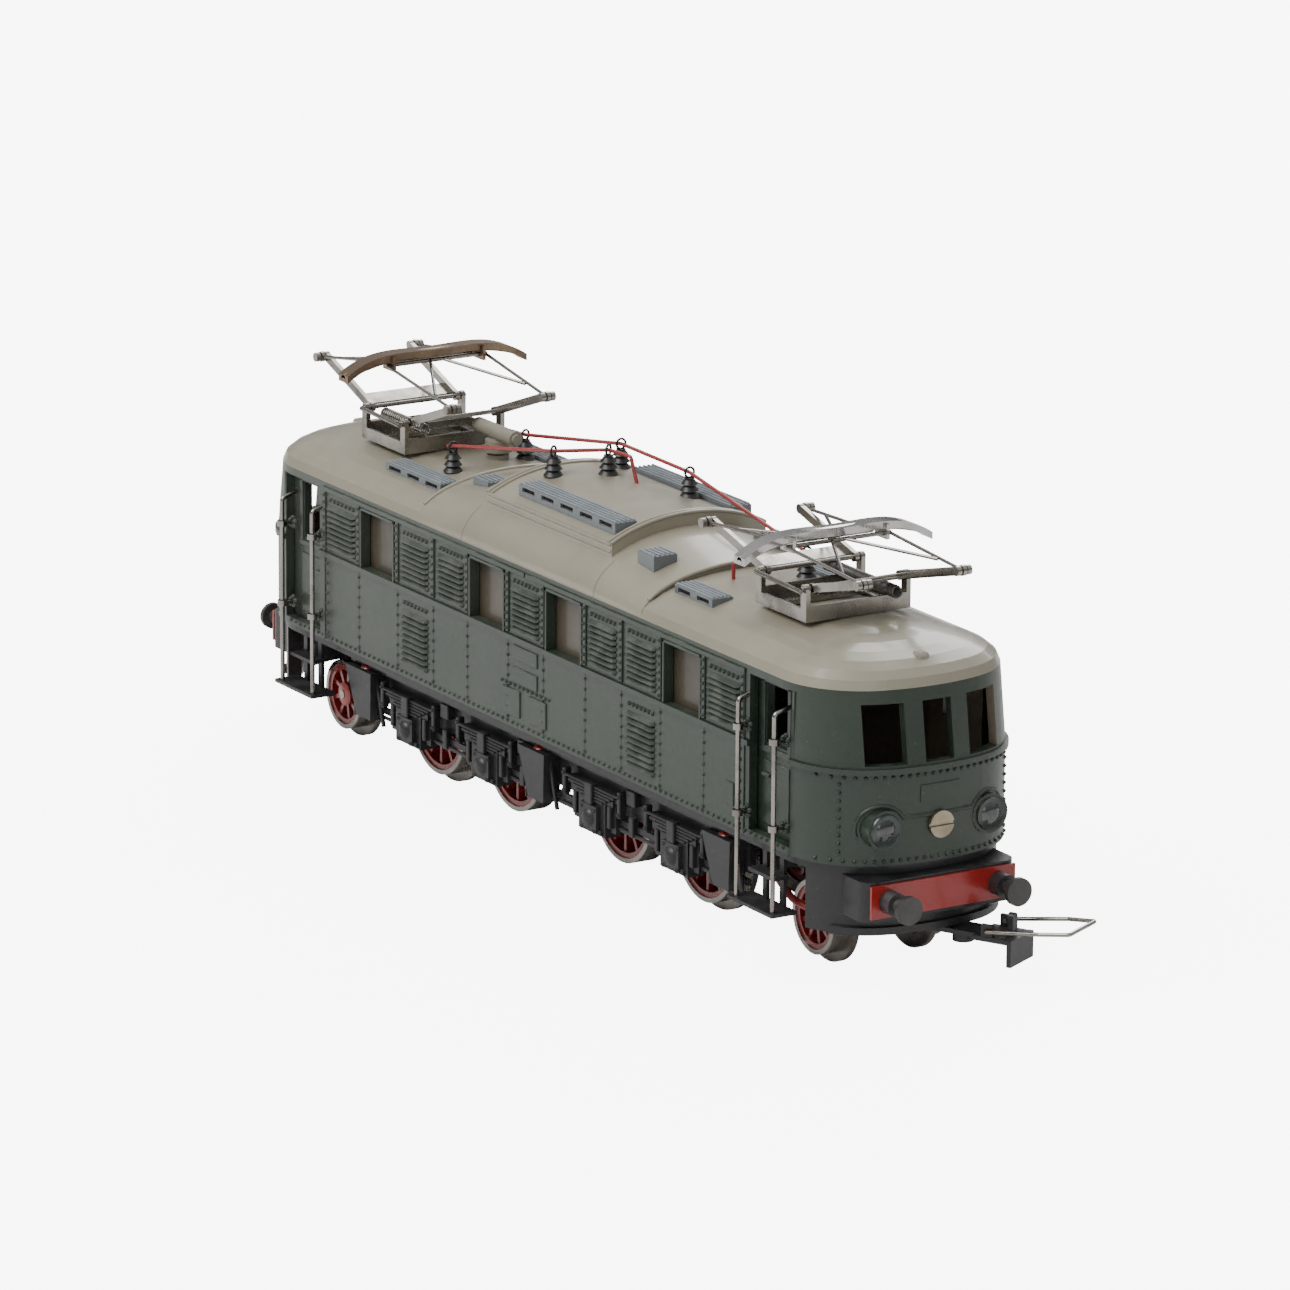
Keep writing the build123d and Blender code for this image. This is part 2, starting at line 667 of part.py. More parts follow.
def handrail(x, body):
    """Wire handrail of the right-hand side with two ring collars, down to the lower step."""
    top = 43.0
    path = [(x, -rail_out, step_low + tread_thick), (x, -rail_out, top), (x, -body_half + 1.2, top + 0.9)]
    shape = wire(path, rail_r, 0.7)
    for z in (38.6, 24.5):
        shape += rod_z(x, -rail_out, z - 0.5, z + 0.5, 0.85)
        shape += rod_y(x, -rail_out, -body_half + 1.2, z, 0.35)
    return max((shape - body).solids(), key=lambda solid: solid.volume)


# ---- couplers
def at_coupler(shape):
    """Puts a shape drawn along +X from the coupler's pivot in its swung place at the front."""
    return Pos(coupler_pivot_x, 0, 0) * Rot(0, 0, coupler_swing) * shape


def coupler():
    """Coupler arm with hook finger, bail ears and hanging plate."""
    top = coupler_low + coupler_thick
    shape = block(0, 21.5, -2.5, 2.5, coupler_low, top) + rod_z(0, 0, coupler_low, top, 2.5)
    shape += block(14.5, 21.5, -3.6, 3.6, coupler_low, top)
    for ear in both_sides(block(bail_hinge - 1.0, bail_hinge + 1.0, 2.9, 3.5, top - 0.2, bail_z + 1.0)):
        shape += ear
    shape += block(20.7, 21.5, -3.8, 3.8, 4.4, top)
    shape += rod_z(11.0, 0, coupler_low - 1.5, coupler_low + 0.2, 1.7)
    shape += block(19.2, 20.2, -0.8, 0.8, top - 0.2, finger_z) + rod_x(19.2, 20.2, 0, finger_z, 0.8)
    shape -= rod_z(0, 0, 0, 20, coupler_pin_r + running)
    shape -= rod_y(bail_hinge, -5, 5, bail_z, bail_wire_r + running)
    return shape


def bail():
    """Wire loop hinged in the coupler's ears."""
    bend_z = bail_z + bail_rise * 0.7
    top = bail_z + bail_rise
    points = [(bail_hinge, -2.5, bail_z), (bail_hinge, -4.1, bail_z), (bail_front - 5, -bail_half, bend_z),
              (bail_front, -bail_half + 0.6, top), (bail_front, bail_half - 0.6, top),
              (bail_front - 5, bail_half, bend_z), (bail_hinge, 4.1, bail_z), (bail_hinge, 2.5, bail_z)]
    return wire(points, bail_wire_r, 0.5)


# ---- motor
def armature():
    """Armature, shaft, pinion and disc commutator."""
    core = rod_y(0, -armature_half, armature_half, motor_z, armature_r)
    for n in range(3):
        slot = block(armature_r - 3.2, armature_r + 1, -armature_half - 1, armature_half + 1, -0.7, 0.7)
        core -= Pos(0, 0, motor_z) * Rot(0, 120 * n, 0) * slot
    shaft = rod_y(0, -gear_out - gear_face - 0.3, 6.5, motor_z, shaft_r)
    disc = rod_y(0, plate_out + 0.3, 6.4, motor_z, 5.0)
    pinion = gear(pinion_teeth, 0, motor_z, shaft_r / 2)
    return core + shaft + disc + pinion


def motor_field():
    """Laminated field magnet around the armature, with its coil on top."""
    tunnel = armature_r + air_gap
    side = plate_in - 0.1
    core = block(-tunnel - 3.9, tunnel + 3.9, -side, side, motor_z - tunnel - 0.5, motor_z + tunnel + 5)
    core -= rod_y(0, -10, 10, motor_z, tunnel)
    core -= block(-3.5, 3.5, -10, 10, motor_z - tunnel - 2, motor_z)
    return core + rod_x(-6.5, 6.5, 0, motor_z + tunnel + 4.6, 4.4)


def brush_gear():
    """Brush plate beside the commutator, with its two carbon brushes."""
    plate = block(-5.8, 5.8, 7.6, 9.0, floor_top, motor_z + 6.5)
    brushes = [rod_y(x, 6.42, 7.6, motor_z, 1.1) for x in (-3.4, 3.4)]
    return [plate] + brushes


def reversing_relay():
    return join([block(31, 49, -5.9, 5.9, floor_top, floor_top + 2),
                 block(33, 46, -5.0, 5.0, floor_top + 1.8, 33),
                 rod_x(35, 44, 0, 33, 4.2)])


def bulb():
    """Lamp bulb on its socket behind the front nose."""
    x = nose_front - 14
    return rod_z(x, 0, floor_top, 27.6, 1.7) + Pos(x, 0, 29.2) * Sphere(2.2)


def lens():
    """Round lamp lens of the front end, left side."""
    return rod_x(lamp_seat - 2.6, lamp_seat + 0.3, lamp_y, lamp_z, lamp_hole_r)


def body_screw():
    shape = rod_x(nose_front - 8.5, nose_front + 0.1, 0, lamp_z, screw_r)
    shape += rod_x(nose_front, nose_front + screw_head, 0, lamp_z, screw_head_r)
    return shape - block(nose_front + screw_head - 0.35, nose_front + 2, -3, 3, lamp_z - 0.28, lamp_z + 0.28)


# ---- pantographs
def panto_base():
    """Sheet base with folded cross members and four posts."""
    shape = block(-base_half_x, base_half_x, -base_half_y, base_half_y, 0, base_thick)
    shape -= block(-3.2, 3.2, -7.0, 7.0, -1, 2)
    for x in (-base_half_x, base_half_x - 0.5):
        shape += block(x, x + 0.5, -base_half_y, base_half_y, 0, member_high)
    for plate in both_sides(block(-base_half_x, base_half_x, base_half_y - 0.5, base_half_y, 0, 2.0)):
        shape += plate
    for x in (-arm_pivot_x, arm_pivot_x):
        for y in (-post_out, post_out - post):
            shape += block(x - eye_outer, x + eye_outer, y, y + post, 0, arm_pivot_z)
            shape += rod_y(x, y, y + post, arm_pivot_z, eye_outer)
        shape -= rod_y(x, -12, 12, arm_pivot_z, arm_pin_r + running)
    return shape


def knee_place(lift):
    """Place of the front knee for a lower arm lifted by some degrees."""
    angle = radians(lower_angle + lift)
    return arm_pivot_x + lower_arm * cos(angle), arm_pivot_z + lower_arm * sin(angle)


def lower_arm_shape(lift):
    """Front lower arm: two bars, a folded web, the pivot axle and the knee pins."""
    bar = block(0, lower_arm, arm_bar_out - arm_bar, arm_bar_out, -0.7, 0.7)
    bar += rod_y(0, arm_bar_out - arm_bar, arm_bar_out, 0, eye_outer)
    bar += rod_y(lower_arm, arm_bar_out - arm_bar, arm_bar_out, 0, eye_outer)
    bar += rod_y(0, 6, post_out + 0.3, 0, arm_pin_r)
    bar += rod_y(lower_arm, arm_bar_out - 0.4, 10.0, 0, arm_pin_r)
    bar += rod_y(lower_arm, 9.8, 10.6, 0, eye_outer)
    shape = join(both_sides(bar))
    shape += rod_y(0, -arm_bar_out, arm_bar_out, 0, arm_pin_r)
    shape += block(1.2, 4.4, -arm_bar_out + 0.2, arm_bar_out - 0.2, -0.45, -0.1)
    return Pos(arm_pivot_x, 0, arm_pivot_z) * Rot(0, -(lower_angle + lift), 0) * shape


def upper_arm_shape(lift, rod_half):
    """Front upper arm: knee eyes, two wires with diagonals and the pivot rod at the bow."""
    eye = rod_y(0, 8.9, 9.6, 0, eye_outer + 0.1)
    side = straight_wire((0.6, 9.25, 0), (upper_arm, rod_half - 0.3, 0))
    side += straight_wire((6.5, 8.8, 0), (upper_arm, 1.2, 0))
    shape = join(both_sides(eye + side))
    shape += rod_y(upper_arm, -rod_half, rod_half, 0, rod_r)
    shape -= rod_y(0, -12, 12, 0, arm_pin_r + running)
    x, z = knee_place(lift)
    return Pos(x, 0, z) * Rot(0, 180 + upper_angle + lift, 0) * shape


def straight_wire(start, end):
    path = Line(start, end)
    return sweep(Plane(origin=start, z_dir=path % 0) * Circle(wire_r), path=path)


def bow_pivot(lift):
    """Place of the front upper arm's rod, which carries the bow."""
    x, z = knee_place(lift)
    angle = radians(upper_angle + lift)
    return x - upper_arm * cos(angle), z + upper_arm * sin(angle)


def bow_shape(lift):
    """Contact bow: a broad strip with down-curved horns on two brackets."""
    x, z = bow_pivot(lift)
    top = z + 1.9
    outer = bow_outline(0)
    inner = bow_outline(bow_thick)
    strip = Plane(origin=(-bow_width / 2, 0, top), x_dir=(0, 1, 0), z_dir=(1, 0, 0)) * (outer - inner)
    shape = extrude(strip, bow_width)
    for bracket in both_sides(block(-1.4, 2.2, bow_bracket, bow_bracket + 0.6, z - 0.9, top - 0.3)):
        shape += bracket
    return shape - rod_y(x, -12, 12, z, rod_r + running)


def bow_outline(depth):
    """Area under the bow's top line, or under its lower line a sheet's thickness down."""
    half = bow_half
    bend = half * 0.72
    curve = Spline((-half, -bow_drop - depth), (-bend, -0.5 - depth), (0, -depth), (bend, -0.5 - depth),
                   (half, -bow_drop - depth))
    floor = -bow_drop - 2
    base = Polyline((half, -bow_drop - depth), (half, floor), (-half, floor), (-half, -bow_drop - depth))
    return make_face([curve, base])


def placed(shape, end):
    """Puts a pantograph piece on the front or the rear roof."""
    return Pos(end * pantograph_x, 0, base_z) * shape


def pantograph(name, end, lift):
    save(f"panto_base_{name}", placed(panto_base(), end))
    lower = lower_arm_shape(lift)
    save(f"panto_lower_{name}_a", placed(lower, end))
    save(f"panto_lower_{name}_b", placed(mirror(lower, about=Plane.YZ), end))
    upper = mirror(upper_arm_shape(lift, bow_bracket - 0.4), about=Plane.YZ)
    save(f"panto_upper_{name}_a", placed(upper_arm_shape(lift, bow_bracket + 1.4), end))
    save(f"panto_upper_{name}_b", placed(upper, end))
    save(f"panto_bow_{name}", placed(bow_shape(lift), end))


def panto_spring(x0, x1, y):
    """Raising spring lying on the base's cross members, a tube of its coil's size."""
    z = member_high + spring_r
    return rod_x(x0, x1, y, z, spring_r) - rod_x(x0, x1, y, z, spring_r - 0.5)


def main():
    os.makedirs("parts", exist_ok=True)
    outer = roof_outer()
    body = body_casting()
    save("body_casting", body)
    save("roof_casting", roof_casting(outer))
    save("roof_vents", *[seated(copy, outer) for row in vent_rows for copy in both_sides(vent(*row))])
    save("roof_insulators", *[seated(insulator(*place), outer) for place in insulator_places])
    save("roof_busbars", *[seated(bar, outer) for bar in busbars()])
    save("main_breaker", seated(breaker(), outer))
    save("handrails", *[copy for x in handrail_x for copy in four_ways(handrail(x, body))])
    save("cab_steps", *four_ways(steps()))
    save("headlamp_lenses", *four_ways(lens()))
    save("lamp_bulbs", *both_ends(bulb()))
    save("body_screws", *both_ends(body_screw()))
    save("chassis_frame", chassis_frame())
    save("side_frames", *both_sides(side_frame()))
    save("pilots", *both_ends(pilot()))
    save("buffer_beams", *both_ends(buffer_beam()))
    save("buffers", *[copy for one in buffer_pair() for copy in both_ends(one)])
    lead = wire(lead_points, lead_r, lead_bends)
    save("lamp_lead", lead)
    save("motor_field", motor_field())
    save("brush_gear", *brush_gear())
    save("reversing_relay", reversing_relay())
    save("armature", armature())
    save("centre_gear", gear(centre_teeth, 0, centre_z, axle_r + running))
    save("idler_gear_front", gear(idler_teeth, idler_x, drive_z, axle_r + running))
    save("idler_gear_rear", gear(idler_teeth, -idler_x, drive_z, axle_r + running))
    for number, x in enumerate(drive_axles, 1):
        drive_set(number, x)
    for name, x in (("front", pony_axle_x), ("rear", -pony_axle_x)):
        pony_set(name, x)
        pony_truck(name)
    save("pickup_shoe", pickup_shoe())
    for name, copy in zip(("front", "rear"), both_ends(at_coupler(coupler()))):
        save(f"coupler_{name}", copy)
    for name, copy in zip(("front", "rear"), both_ends(at_coupler(bail()))):
        save(f"coupler_bail_{name}", copy)
    pantograph("front", 1, 0.0)
    pantograph("rear", -1, rear_lift)
    front_spring = placed(panto_spring(-10.6, 10.4, 5.4), 1)
    rear_spring = placed(panto_spring(-7.4, 7.0, -5.4), -1)
    save("panto_springs", front_spring, rear_spring)


main()
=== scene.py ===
from math import cos, pi, radians, sin, sqrt

import bpy
import bmesh
import numpy as np
from mathutils import Matrix, Vector


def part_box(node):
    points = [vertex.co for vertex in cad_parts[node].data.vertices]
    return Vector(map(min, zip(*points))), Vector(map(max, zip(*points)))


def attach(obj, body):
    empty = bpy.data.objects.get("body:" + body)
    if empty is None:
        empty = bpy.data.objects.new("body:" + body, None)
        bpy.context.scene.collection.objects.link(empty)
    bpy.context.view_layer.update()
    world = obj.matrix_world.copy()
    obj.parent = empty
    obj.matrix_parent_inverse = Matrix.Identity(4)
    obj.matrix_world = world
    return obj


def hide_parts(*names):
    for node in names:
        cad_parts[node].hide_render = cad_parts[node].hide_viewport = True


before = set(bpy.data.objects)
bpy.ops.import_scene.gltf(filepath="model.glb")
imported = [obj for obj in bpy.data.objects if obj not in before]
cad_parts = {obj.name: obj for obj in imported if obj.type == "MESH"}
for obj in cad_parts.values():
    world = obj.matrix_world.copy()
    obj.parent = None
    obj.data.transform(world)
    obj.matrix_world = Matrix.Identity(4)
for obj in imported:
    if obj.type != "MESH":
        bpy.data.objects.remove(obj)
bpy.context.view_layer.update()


# ---- Viewpoint
# A long lens from ahead and to the right of the model, a little above it, so that the whole
# right-hand side and the front end show.
view_azimuth, view_height, view_roll = radians(58.56), radians(15.18), radians(0.42)
view_distance = 1.34502
view_target = Vector((0.00762, -0.00071, 0.03466))
back = Vector((sin(view_azimuth) * cos(view_height), -cos(view_azimuth) * cos(view_height), sin(view_height)))
right = Vector((cos(view_azimuth), sin(view_azimuth), 0.0))
up = back.cross(right)
camera = bpy.data.objects.new("camera", bpy.data.cameras.new("camera"))
bpy.context.collection.objects.link(camera)
camera.data.lens = 228.4
camera.data.sensor_width = 36.0
camera.data.clip_end = 20.0
level = right * cos(view_roll) + up * sin(view_roll)
upright = up * cos(view_roll) - right * sin(view_roll)
turned = Matrix((level, upright, back)).transposed().to_4x4()
camera.matrix_world = Matrix.Translation(view_target + back * view_distance) @ turned
bpy.context.scene.camera = camera


# ---- Body casting
# Die-cast shell sprayed dark green, paled to grey towards the rear of the side by a painted sheen. It drops
# over the chassis floor, and its window holes are open, with a painted pale brown tone on the faces inside.
body_half, eaves, belt = 19.0, 48.3, 36.1


class Mask:
    """A number that varies over a surface; sums and products of masks are masks."""

    def __init__(self, paint, socket):
        self.paint, self.socket = paint, socket

    def calculate(self, operation, *values):
        return self.paint.node("ShaderNodeMath", {"operation": operation}, dict(enumerate(values)))

    def __add__(self, other):
        return self.calculate("ADD", self, other)

    def __sub__(self, other):
        return self.calculate("SUBTRACT", self, other)

    def __rsub__(self, other):
        return self.calculate("SUBTRACT", other, self)

    def __mul__(self, other):
        return self.calculate("MULTIPLY", self, other)

    def __abs__(self):
        return self.calculate("ABSOLUTE", self)

    __radd__, __rmul__ = __add__, __mul__


class Paint:
    """A material under way: node() adds any node and gives its output as a mask."""

    def __init__(self, name, **values):
        self.material = bpy.data.materials.new(name)
        self.material.use_nodes = True
        self.nodes = self.material.node_tree.nodes
        self.links = self.material.node_tree.links
        self.shader = self.nodes["Principled BSDF"]
        self.set(values)
        self.place = self.node("ShaderNodeTexCoord", out="Object")

    def put(self, socket, value):
        if isinstance(value, Mask):
            self.links.new(value.socket, socket)
        else:
            socket.default_value = value

    def set(self, values):
        for name, value in values.items():
            self.put(self.shader.inputs[name.replace("_", " ")], value)

    def node(self, kind, settings=None, values=None, out=0):
        made = self.nodes.new(kind)
        for name, value in (settings or {}).items():
            if name == "stops":
                ramp = made.color_ramp.elements
                while len(ramp) < len(value):
                    ramp.new(0.5)
                for element, (position, tone) in zip(ramp, value):
                    element.position, element.color = position, (*tone, 1)
            else:
                setattr(made, name, value)
        for name, value in (values or {}).items():
            self.put(made.inputs[name], value)
        return Mask(self, made.outputs[out])

    def noise(self, scale, detail=3.0, rough=0.55):
        return self.node("ShaderNodeTexNoise", {}, {"Vector": self.place, "Scale": scale, "Detail": detail,
                                                    "Roughness": rough}, "Fac")

    def span(self, value, low, high):
        """0 below low, 1 above high, with a smooth change between."""
        return self.node("ShaderNodeMapRange", {"interpolation_type": "SMOOTHSTEP"},
                         {"Value": value, "From Min": low, "From Max": high})

    def blend(self, mask, first, second):
        tone = {6: (*first, 1) if isinstance(first, tuple) else first,
                7: (*second, 1) if isinstance(second, tuple) else second}
        return self.node("ShaderNodeMix", {"data_type": "RGBA"}, {0: mask, **tone}, 2)

    def parts(self, vector):
        split = self.node("ShaderNodeSeparateXYZ", {}, {0: vector})
        return [Mask(self, split.socket.node.outputs[n]) for n in range(3)]

    def bump(self, height, strength, depth):
        self.set({"Normal": self.node("ShaderNodeBump", {}, {"Height": height, "Strength": strength,
                                                           "Distance": depth})})


def coated(name, tone, shade, dust_and_highlight_tone, gloss=0.32, chips=None, chip_amount=0.0, coat=0.25, dust_and_highlight_amount=0.4,
           metallic=0.0):
    """Brushed or sprayed paint: cloudy patches, dust on what faces up that also serves as a painted highlight
    where it is strong, specks, and chips to the metal.
    """
    paint = Paint(name, Coat_Roughness=0.12, Metallic=metallic)
    patches = paint.span(paint.noise(38, 4), 0.3, 0.72)
    fine = paint.noise(900, 3)
    facing = paint.parts(paint.node("ShaderNodeNewGeometry", out="Normal"))[2]
    # Lighter tone on faces turned up: dust, and where the amount is high, a painted highlight.
    dust_and_top_highlight = paint.span(facing, 0.35, 0.95) * paint.span(paint.noise(260, 5), 0.42, 0.68) * dust_and_highlight_amount
    colour = paint.blend(patches, tone, shade)
    colour = paint.blend(dust_and_top_highlight, colour, dust_and_highlight_tone)
    specks = paint.span(paint.noise(1500, 1), 0.74, 0.78) * 0.5
    colour = paint.blend(specks, colour, dust_and_highlight_tone)
    if chips:
        bare = paint.span(paint.noise(190, 6, 0.7), 0.70 - chip_amount, 0.715 - chip_amount)
        colour = paint.blend(bare, colour, chips)
        paint.set({"Metallic": bare * 0.6 + metallic})
    rough = patches * 0.08 + fine * 0.10 + dust_and_top_highlight * 0.4 + (gloss - 0.06)
    paint.set({"Base Color": colour, "Roughness": rough, "Coat Weight": coat})
    paint.bump(paint.noise(420, 2) * 0.6 + fine * 0.25, 0.35, 0.00012)
    return paint


def wear(paint, *nodes):
    """Gives CAD nodes one finish."""
    for name in nodes:
        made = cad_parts[name]
        made.data.materials.clear()
        made.data.materials.append(paint.material)


# The relief paint's strong, pale lightening of what faces up is a painted highlight along the tops of slats,
# studs and rivets, as well as dust.
green, trim = [coated(name, (0.017, 0.030, 0.019), (0.025, 0.040, 0.026), dust_and_highlight_tone, 0.36, (0.13, 0.14, 0.11),
                      -0.045, 0.18, dust_and_highlight_level)
               for name, dust_and_highlight_tone, dust_and_highlight_level in (("body_green", (0.085, 0.095, 0.07), 0.3),
                                          ("relief_green", (0.13, 0.145, 0.115), 0.9))]
# Painted light and shade: the faces inside the casting, and the jambs that face inwards, are painted a pale
# brown that stands for how the dim interior looks through the windows, lifted because little light reaches
# them.
inward = green.node("ShaderNodeVectorMath", {"operation": "MULTIPLY"},
                    {0: green.node("ShaderNodeNewGeometry", out="Normal"), 1: green.place})
across = green.parts(inward)
at_nose = green.span(abs(green.parts(green.place)[0]), 0.0845, 0.0850)
interior_painted_light = green.span(across[1] + across[0] * at_nose, -0.0030, -0.0060)
# Both greens pale to grey towards the rear along the side: a painted sheen, the light the glossy paint
# reflects there, put into the colour.
for paint in (green, trim):
    cover = Mask(paint, paint.shader.inputs["Base Color"].links[0].from_socket)
    rearward = paint.span(paint.parts(paint.place)[0], 0.075, -0.055)
    painted_sheen = rearward * paint.span(paint.noise(22, 3), 0.2, 0.7) * 0.55
    cover = paint.blend(painted_sheen, cover, (0.085, 0.098, 0.080))
    paint.set({"Base Color": cover if paint is trim else paint.blend(interior_painted_light, cover, (0.34, 0.29, 0.22))})
wear(green, "body_casting")


# ---- Louvre panels
# Cast-in air intakes of the machine room: rows of slats under a row of studs, in the upper band
# between the windows and again low down beside the middle.
root = "locomotive"
mm = 0.001
slat_depth = 0.62
upper_panels = ((0.0, 8.6), (24.5, 8.4), (36.44, 8.9), (61.5, 9.4))


def skin(name, rings, paint, body=root, *, smooth=40, replace=()):
    """A closed skin over rings of points, copies x stations x points x 3, in millimetres: four-cornered
    faces from each ring to the next, and a flat cap over the first and the last ring of every copy."""
    rings = np.asarray(rings, float)
    copies, stations, around = rings.shape[:3]
    index = np.arange(copies * stations * around).reshape(copies, stations, around)
    low, high = index[:, :-1], index[:, 1:]
    quads = np.stack([low, np.roll(low, -1, 2), np.roll(high, -1, 2), high], -1).reshape(-1, 4)
    caps = np.concatenate([index[:, 0, ::-1], index[:, -1]])
    mesh = bpy.data.meshes.new(name)
    mesh.from_pydata((rings.reshape(-1, 3) * mm).tolist(), [], quads.tolist() + caps.tolist())
    shape = bmesh.new()
    shape.from_mesh(mesh)
    bmesh.ops.recalc_face_normals(shape, faces=shape.faces)
    shape.to_mesh(mesh)
    shape.free()
    mesh.polygons.foreach_set("use_smooth", [True] * len(mesh.polygons))
    mesh.set_sharp_from_angle(angle=radians(smooth))
    mesh.materials.append(paint.material)
    piece = bpy.data.objects.new(name, mesh)
    bpy.context.collection.objects.link(piece)
    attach(piece, body)
    if replace:
        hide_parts(*replace)


def studs(centres, outward, radius, height, around=6):
    """Round-headed studs: three rings of shrinking radius, r(h) = radius * cos(h), lifted by height * sin(h)
    and sunk a little into the surface."""
    centres, outward = np.asarray(centres, float), np.asarray(outward, float)
    outward = outward / np.linalg.norm(outward, axis=-1, keepdims=True)
    helper = np.where(np.abs(outward[:, 2:]) > 0.8, [[1.0, 0, 0]], [[0, 0, 1.0]])
    first = np.cross(outward, helper)
    first /= np.linalg.norm(first, axis=-1, keepdims=True)
    second = np.cross(outward, first)
    turn = 2 * pi * np.arange(around) / around
    rise = np.radians([0, 35, 70])
    sunk = 0.12
    spoke = first[:, None] * np.cos(turn)[None, :, None] + second[:, None] * np.sin(turn)[None, :, None]
    ring = spoke[:, None] * (radius * np.cos(rise))[None, :, None, None]
    lift = outward[:, None, None] * (height * np.sin(rise) - sunk)[None, :, None, None]
    foot = outward[:, None, None] * (sunk * np.sin(rise))[None, :, None, None]
    return centres[:, None, None] + ring + lift + foot


def sides(points):
    """The points and their mirror images at the other side: y becomes -y."""
    points = np.asarray(points, float)
    return np.concatenate([points, points * [1, -1, 1]])


def louvre(middle, width, low, high, slats):
    """Saw-tooth profile carried along x: each slat rises out of the wall to its lower lip and drops back
    sharply under it; the ends are drawn into the wall."""
    pitch = (high - low) / slats
    tooth = np.array([[0.0, 0.0], [0.2, 0.0], [0.26, 1.0], [0.42, 1.0], [0.92, 0.2]])
    step = np.arange(slats)[:, None]
    z = (low + pitch * (step + tooth[None, :, 0])).ravel()
    out = np.tile(tooth[:, 1], slats)
    z = np.concatenate([z, [high, high, low]])
    out = np.concatenate([out, [0.05, -0.5, -0.5]])
    x = middle + width * np.array([-0.5, -0.46, 0.46, 0.5])
    share = np.array([0.15, 1.0, 1.0, 0.15])
    rings = np.empty((4, len(z), 3))
    rings[..., 0] = x[:, None]
    rings[..., 1] = body_half + np.where(out > 0, out * slat_depth * share[:, None], out)
    rings[..., 2] = z
    return rings


panels = [louvre(sign * middle, width, 36.9, 44.6, 8) for middle, width in upper_panels
          for sign in ((1, -1) if middle else (1,))]
lower_panels = [louvre(sign * 36.44, 8.6, 22.8, 32.2, 9) for sign in (1, -1)]
for name, group in (("louvres_upper", panels), ("louvres_lower", lower_panels)):
    skin(name, sides(np.array(group)), trim, smooth=25)

across = np.linspace(-0.42, 0.42, 7)
rows = [np.stack([sign * middle + width * across, np.full(7, body_half), np.full(7, z)], 1)
        for middle, width, z in [(m, w, 45.5) for m, w in upper_panels] + [(36.44, 8.6, 33.4)]
        for sign in ((1, -1) if middle else (1,))]
rows = sides(np.concatenate(rows))
skin("louvre_studs", studs(rows, rows * [0, 1, 0], 0.44, 0.46), trim)


# ---- Battens, plates and rivets of the body
# Raised battens between the panels, frames around the windows, blank plates and two small hatches
# in the middle, and rows of rivet heads along every seam.
battens = [5.7, 19.0, 30.35, 42.35, 55.6, 67.3]
under_skin = body_half - 0.3
strips = [[x - 0.45, under_skin, 36.4, x + 0.45, body_half + 0.3, 46.9] for x in battens]
strips += [[0.2, under_skin, 46.7, 67.9, body_half + 0.3, 47.5]]
strips += [[x - 0.12, under_skin, 20.6, x + 0.12, body_half + 0.05, 35.3] for x in battens[:5]]
for low, high in ((7.05, 17.74), (43.77, 54.42)):
    strips += [[low - 0.5, under_skin, 36.0, low, body_half + 0.32, 46.6],
               [high, under_skin, 36.0, high + 0.5, body_half + 0.32, 46.6],
               [low - 0.5, under_skin, 46.1, high + 0.5, body_half + 0.32, 46.6]]
strips += [[67.2, under_skin, 20.6, 67.9, body_half + 0.2, 47.5], [81.4, 17.2, 20.6, 82.0, 18.9, 47.0]]


def slabs(boxes, edge=0.1):
    """Blocks with chamfered edges: boxes is n x 6, low and high corners; eight points a ring, carried
    along x through four stations, the end ones drawn in by the chamfer."""
    boxes = np.asarray(boxes, float).reshape(-1, 6)
    low, high = boxes[:, :3], boxes[:, 3:]
    cut = np.minimum(edge, (high - low).min(-1) * 0.4)[:, None]
    y = np.concatenate([low[:, 1:2] + cut, high[:, 1:2] - cut, high[:, 1:2], high[:, 1:2], high[:, 1:2] - cut,
                        low[:, 1:2] + cut, low[:, 1:2], low[:, 1:2]], 1)
    z = np.concatenate([low[:, 2:], low[:, 2:], low[:, 2:] + cut, high[:, 2:] - cut, high[:, 2:], high[:, 2:],
                        high[:, 2:] - cut, low[:, 2:] + cut], 1)
    middle = (low + high)[:, None, None, :] / 2
    half = (high - low)[:, None, None, :] / 2
    x = np.concatenate([low[:, :1], low[:, :1] + cut, high[:, :1] - cut, high[:, :1]], 1)
    rings = np.empty((len(boxes), 4, 8, 3))
    rings[..., 0] = x[:, :, None]
    rings[..., 1], rings[..., 2] = y[:, None], z[:, None]
    drawn = 1 - cut[:, None, None, :] / half[..., 1:]
    rings[:, [0, 3], :, 1:] = middle[..., 1:] + (rings[:, [0, 3], :, 1:] - middle[..., 1:]) * drawn
    return rings


def four(points):
    """The points and their mirror images at the other side and the other end."""
    points = np.asarray(points, float)
    signs = np.array([[1, 1, 1], [1, -1, 1], [-1, 1, 1], [-1, -1, 1]], float)
    return np.concatenate([points * sign for sign in signs])


def four_boxes(boxes):
    """Boxes on the left side of the front half, mirrored to all four quarters."""
    return np.sort(four(np.array(boxes).reshape(-1, 3)).reshape(4, -1, 2, 3), axis=2).reshape(-1, 6)


def two_boxes(boxes):
    """Boxes on the left side, mirrored to the right side."""
    boxes = np.asarray(boxes, float)
    return np.concatenate([boxes, boxes[:, [0, 4, 2, 3, 1, 5]] * [1, -1, 1, 1, -1, 1]])


skin("body_battens", slabs(four_boxes(strips), 0.08), trim, smooth=30)

